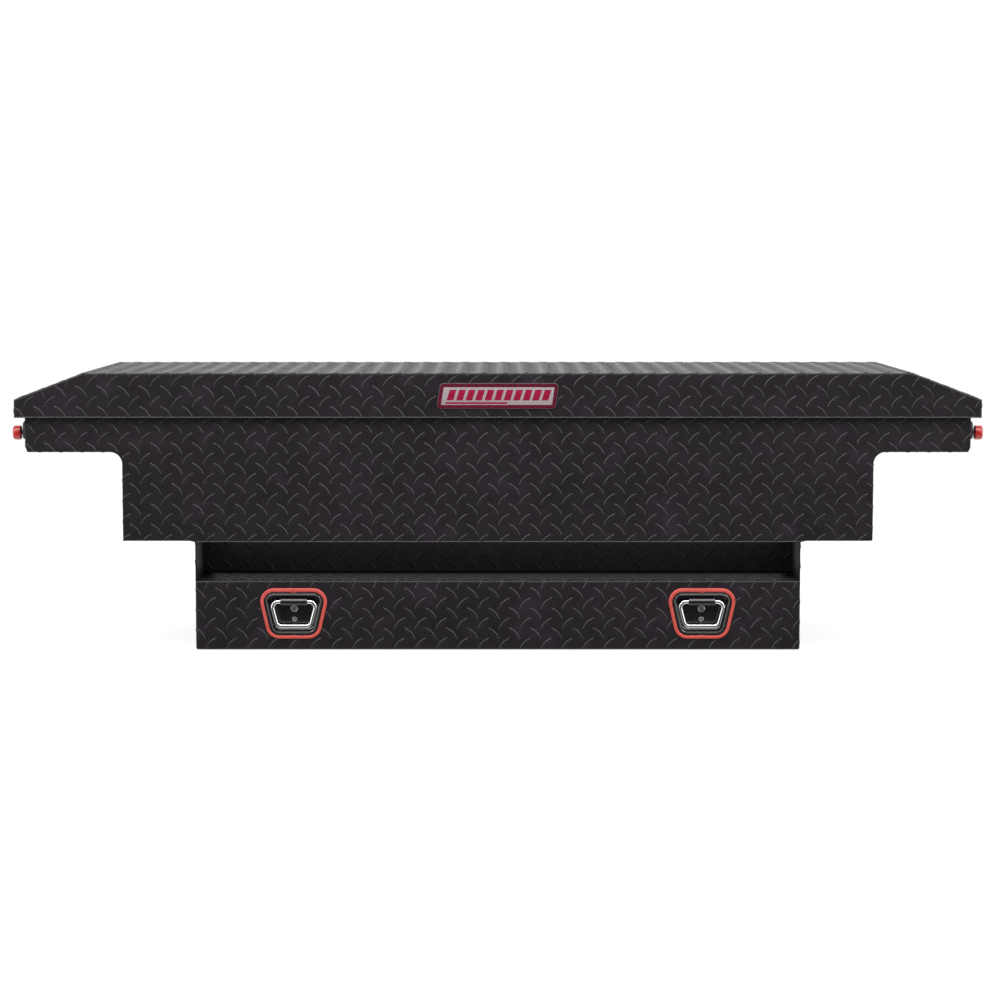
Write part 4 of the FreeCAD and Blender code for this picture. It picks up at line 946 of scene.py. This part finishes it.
def add_button(side, word):
    """Round push button with a dished face and a stem."""
    low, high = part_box("push_button_" + word)
    centre = (low + high) / 2
    wide = (high.z - low.z) / 2
    outer = max(abs(low.x), abs(high.x)) - BUTTON_SETBACK
    inner = min(abs(low.x), abs(high.x))
    cap = outer - BUTTON_CAP
    profile = (              # distance from the middle of the box, and radius
        (inner, 0.0012),
        (inner + 0.0008, 0.0028),
        (inner + 0.0030, STEM_RADIUS),
        (cap, STEM_RADIUS),
        (cap, wide - 0.0012),
        (cap + 0.0012, wide + 0.0002),
        (outer - 0.0060, wide + 0.0004),
        (outer - 0.0026, wide - 0.0002),
        (outer - 0.0009, wide - 0.0014),
        (outer, wide - 0.0034),
        (outer - 0.0004, wide - 0.0060),
        (outer - 0.0012, 0.0010),
    )
    shape = turned(profile, side, centre)
    button = add_piece(word + "_round_button", "button_" + word, "red_plastic", *shape)
    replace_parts(face_outwards(button), "push_button_" + word)


def add_escutcheon(side, word):
    """Moulded collar round a button's stem, with a sloping hood, on the end of the wing."""
    low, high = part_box("push_button_" + word)
    centre = (low + high) / 2
    foot = block(plate_low.y, plate_high.y, plate_low.z, plate_high.z)
    half = 0.0152
    face = block(centre.y - half, centre.y + half, plate_low.z + 0.0024, plate_high.z - 0.0078)
    hole = 0.0076
    bore = block(centre.y - hole, centre.y + hole, centre.z - hole, centre.z + hole)
    wing = tub_high.x
    steps = (                # outline, corner radius, inset, and distance from the box's middle
        (foot, 0.006, 0.0, wing + 0.0003),
        (foot, 0.006, 0.0, wing + 0.0032),
        (foot, 0.006, 0.0008, wing + 0.0040),
        (face, 0.005, -0.0008, wing + 0.0088),
        (face, 0.005, 0.0004, wing + 0.0097),
        (face, 0.005, 0.0018, wing + 0.0099),
        (bore, hole, 0.0, wing + 0.0097),
        (bore, hole, 0.0, wing + 0.0003),
    )
    rings = []
    for corners, radius, inset, reach in steps:
        ring = inset_ring(corners, radius, inset)
        rings.append([(side * reach, point.x, point.y) for point in ring])
    shape = loft(rings, around=True)
    return face_outwards(add_piece(word + "_button_collar", "tub", "plain_sheet", *shape))


def add_hem(name, body, half, face, edge):
    """Thin rolled line along the bottom edge of a front sheet."""
    section = (              # Y from the face, and Z from the edge
        (0.0006, 0.0),
        (-0.0005, 0.0),
        (-0.0008, 0.0004),
        (-0.0008, 0.0009),
        (-0.0002, 0.0019),
        (0.0006, 0.0019),
    )
    rings = [[(x, face + out, edge + up) for out, up in section] for x in (-half, half)]
    return face_outwards(add_piece(name, body, "tread_sheet", *loft(rings), LUG_CREASE))


def add_seal():
    """Bulb seal round the tub's rim."""
    low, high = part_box("weather_seal")
    corners = block(low.x, high.x, low.y, high.y)
    tall = high.z - low.z
    section = (              # inset, and share of the seal's height
        (0.0, 0.0),
        (0.0, 0.18),
        (0.0012, 0.24),
        (0.0005, 0.45),
        (0.0012, 0.75),
        (0.0032, 0.95),
        (0.0050, 1.0),
        (0.0068, 0.95),
        (0.0088, 0.75),
        (0.0095, 0.45),
        (0.0088, 0.24),
        (0.0100, 0.18),
        (0.0100, 0.0),
    )
    rings = []
    for inset, share in section:
        ring = inset_ring(corners, 0.014, inset)
        rings.append([(point.x, point.y, low.z + tall * share) for point in ring])
    seal = add_piece("rim_bulb_seal", "tub", "seal_rubber", *loft(rings, around=True))
    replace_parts(face_outwards(seal), "weather_seal")


def add_mat():
    """Ribbed liner in the drawer."""
    low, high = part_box("drawer_mat")
    rib = 0.0012
    base = high.z - rib
    count = round((high.y - low.y) / 0.006)
    pitch = (high.y - low.y) / count
    section = []
    for index in range(count):
        start = low.y + index * pitch
        section += [
            (start + pitch * 0.1, base),
            (start + pitch * 0.25, high.z - rib * 0.15),
            (start + pitch * 0.45, high.z),
            (start + pitch * 0.65, high.z - rib * 0.15),
            (start + pitch * 0.8, base),
        ]
    section = [(low.y, low.z), (low.y, base), *section, (high.y, base), (high.y, low.z)]
    rings = [[(x, y, z) for y, z in section] for x in (low.x, high.x)]
    mat = face_outwards(add_piece("drawer_ribbed_mat", "drawer", "mat_rubber", *loft(rings)))
    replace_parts(mat, "drawer_mat")


# ---- stage, light and camera ----------------------------------------------------------------


def make_floor():
    """Pale floor that fades into the white all round; the object doesn't mirror it."""
    white = (1.0, 1.0, 1.0, 1.0)
    finish = Finish("pale_floor", IOR=1.3, Emission_Color=white, Emission_Strength=0.8)
    tone = finish.blend(finish.clouds(0.6, 3.0), (0.29, 0.29, 0.30), (0.32, 0.32, 0.32))
    finish.bump(finish.clouds(0.004, 2.0), 0.00002)
    material = finish.finish(tone, finish.spread(finish.clouds(0.2), 0.3, 0.7, 0.75, 0.9))
    distance = finish.node("ShaderNodeVectorMath", {0: finish.place}, output=1, operation="LENGTH")
    cover = finish.spread(distance, 1.5, 3.6, 1.0, 0.0)
    finish.tree.links.new(cover, finish.shader.inputs["Alpha"])
    reach, level = 4.0, -0.0005
    points = [(x, y, level) for x, y in block(-reach, reach, -reach, reach)]
    mesh = bpy.data.meshes.new("studio_floor")
    mesh.from_pydata(points, [], [tuple(range(len(points)))])
    floor = bpy.data.objects.new("studio_floor", mesh)
    bpy.context.scene.collection.objects.link(floor)
    mesh.materials.append(material)
    floor.visible_glossy = False
    floor.visible_diffuse = False


def make_world():
    """White for the camera; for light, brighter above and behind than in front."""
    world = bpy.data.worlds.new("studio")
    bpy.context.scene.world = world
    world.use_nodes = True
    tree = world.node_tree
    nodes, links = tree.nodes, tree.links
    background = nodes["Background"]
    place = nodes.new("ShaderNodeTexCoord").outputs["Generated"]
    split = nodes.new("ShaderNodeSeparateXYZ")
    links.new(place, split.inputs[0])

    def ramp(value, low, high, start, end):
        made = nodes.new("ShaderNodeMapRange")
        made.interpolation_type = "SMOOTHSTEP"
        links.new(value, made.inputs["Value"])
        limits = {"From Min": low, "From Max": high, "To Min": start, "To Max": end}
        for key, number in limits.items():
            made.inputs[key].default_value = number
        return made.outputs[0]

    def join(operation, first, second):
        made = nodes.new("ShaderNodeMath")
        made.operation = operation
        for index, value in enumerate((first, second)):
            if isinstance(value, bpy.types.NodeSocket):
                links.new(value, made.inputs[index])
            else:
                made.inputs[index].default_value = value
        return made.outputs[0]

    below = ramp(split.outputs["Z"], -0.9, -0.5, 1.1, 0.12)
    above = ramp(split.outputs["Z"], 0.2, 0.6, 0.0, 0.16)
    behind = ramp(split.outputs["Y"], 0.1, 0.9, 0.0, 0.45)
    beside = ramp(join("ABSOLUTE", split.outputs["X"], 0.0), 0.6, 0.9, 0.0, 0.9)
    strength = join("ADD", join("ADD", below, above), join("ADD", behind, beside))
    seen = nodes.new("ShaderNodeLightPath").outputs["Is Camera Ray"]
    unseen = join("MULTIPLY", strength, join("SUBTRACT", 1.0, seen))
    links.new(join("ADD", unseen, seen), background.inputs["Strength"])
    background.inputs["Color"].default_value = (1.0, 1.0, 1.0, 1.0)


def add_softbox(name, place, aim, size, power):
    """A rectangular light that the camera doesn't see."""
    light = bpy.data.lights.new(name, "AREA")
    light.shape = "RECTANGLE"
    light.size, light.size_y = size
    light.energy = power
    lamp = bpy.data.objects.new(name, light)
    lamp.location = place
    lamp.rotation_euler = (Vector(aim) - Vector(place)).to_track_quat("-Z", "Y").to_euler()
    lamp.visible_camera = False
    bpy.context.scene.collection.objects.link(lamp)


def make_lights():
    """Large soft lights above, behind and at both sides, and two faint ones in the recess."""
    add_softbox("overhead_softbox", (0.0, -1.7, 2.9), (0.0, 0.0, 0.3), (4.5, 1.2), 108.0)
    add_softbox("rear_softbox", (0.0, 2.6, 2.0), (0.0, 0.0, 0.4), (4.0, 1.0), 33.0)
    for side, word in SIDES:
        place = (side * 2.7, -2.3, 2.3)
        add_softbox(word + "_softbox", place, (0.0, FACE, 0.3), (1.5, 1.0), 38.0)
        place = (side * 3.4, -2.4, 0.7)
        add_softbox(word + "_panel", place, (0.0, FACE, 0.2), (1.2, 2.2), 20.0)
    wall = well_low.y - 0.004
    middle = (deck_high.z + MAIN_BOTTOM) / 2
    add_softbox("recess_glow", (0.0, wall, middle), (0.0, wall - 1.0, middle), (1.1, 0.06), 0.045)
    lip = (0.0, FACE + 0.012, MAIN_BOTTOM - 0.006)
    add_softbox("recess_fill", lip, (0.0, well_low.y, middle), (1.1, 0.012), 0.10)


def make_camera():
    """The photograph's view: square to the front, from a little above the lid, tilted down."""
    camera = bpy.data.cameras.new("camera")
    camera.sensor_width = 36.0
    camera.lens = 98.17
    holder = bpy.data.objects.new("camera", camera)
    holder.location = (0.0041, lid_low.y - 5.107, 0.7498)
    holder.rotation_euler = (math.radians(90.0 - 5.185), 0.0, 0.0)
    bpy.context.scene.collection.objects.link(holder)
    bpy.context.scene.camera = holder


# ---- the object -----------------------------------------------------------------------------

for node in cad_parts.values():
    for material_slot in node.material_slots:
        material_slot.material = FINISHES[material_slot.material.name]

tread_lid()
tread_tub()
tread_bay()
tread_drawer()
for side, word in SIDES:
    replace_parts(add_gasket(side, word), "handle_gaskets")
for side, word in SIDES:
    add_pull_ring(side, word)
    add_housing(side, word)
    add_rims(side, word)
    add_button(side, word)
    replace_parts(add_escutcheon(side, word), "button_escutcheons")
add_hem("lid_front_hem", "lid", lid_high.x - BEND, lid_low.y, lid_low.z)
add_hem("tub_front_hem", "tub", deck_high.x, FACE, tub_low.z)
add_badge()
add_seal()
add_mat()

make_floor()
make_world()
make_lights()
make_camera()
bpy.context.scene.view_settings.view_transform = "Standard"
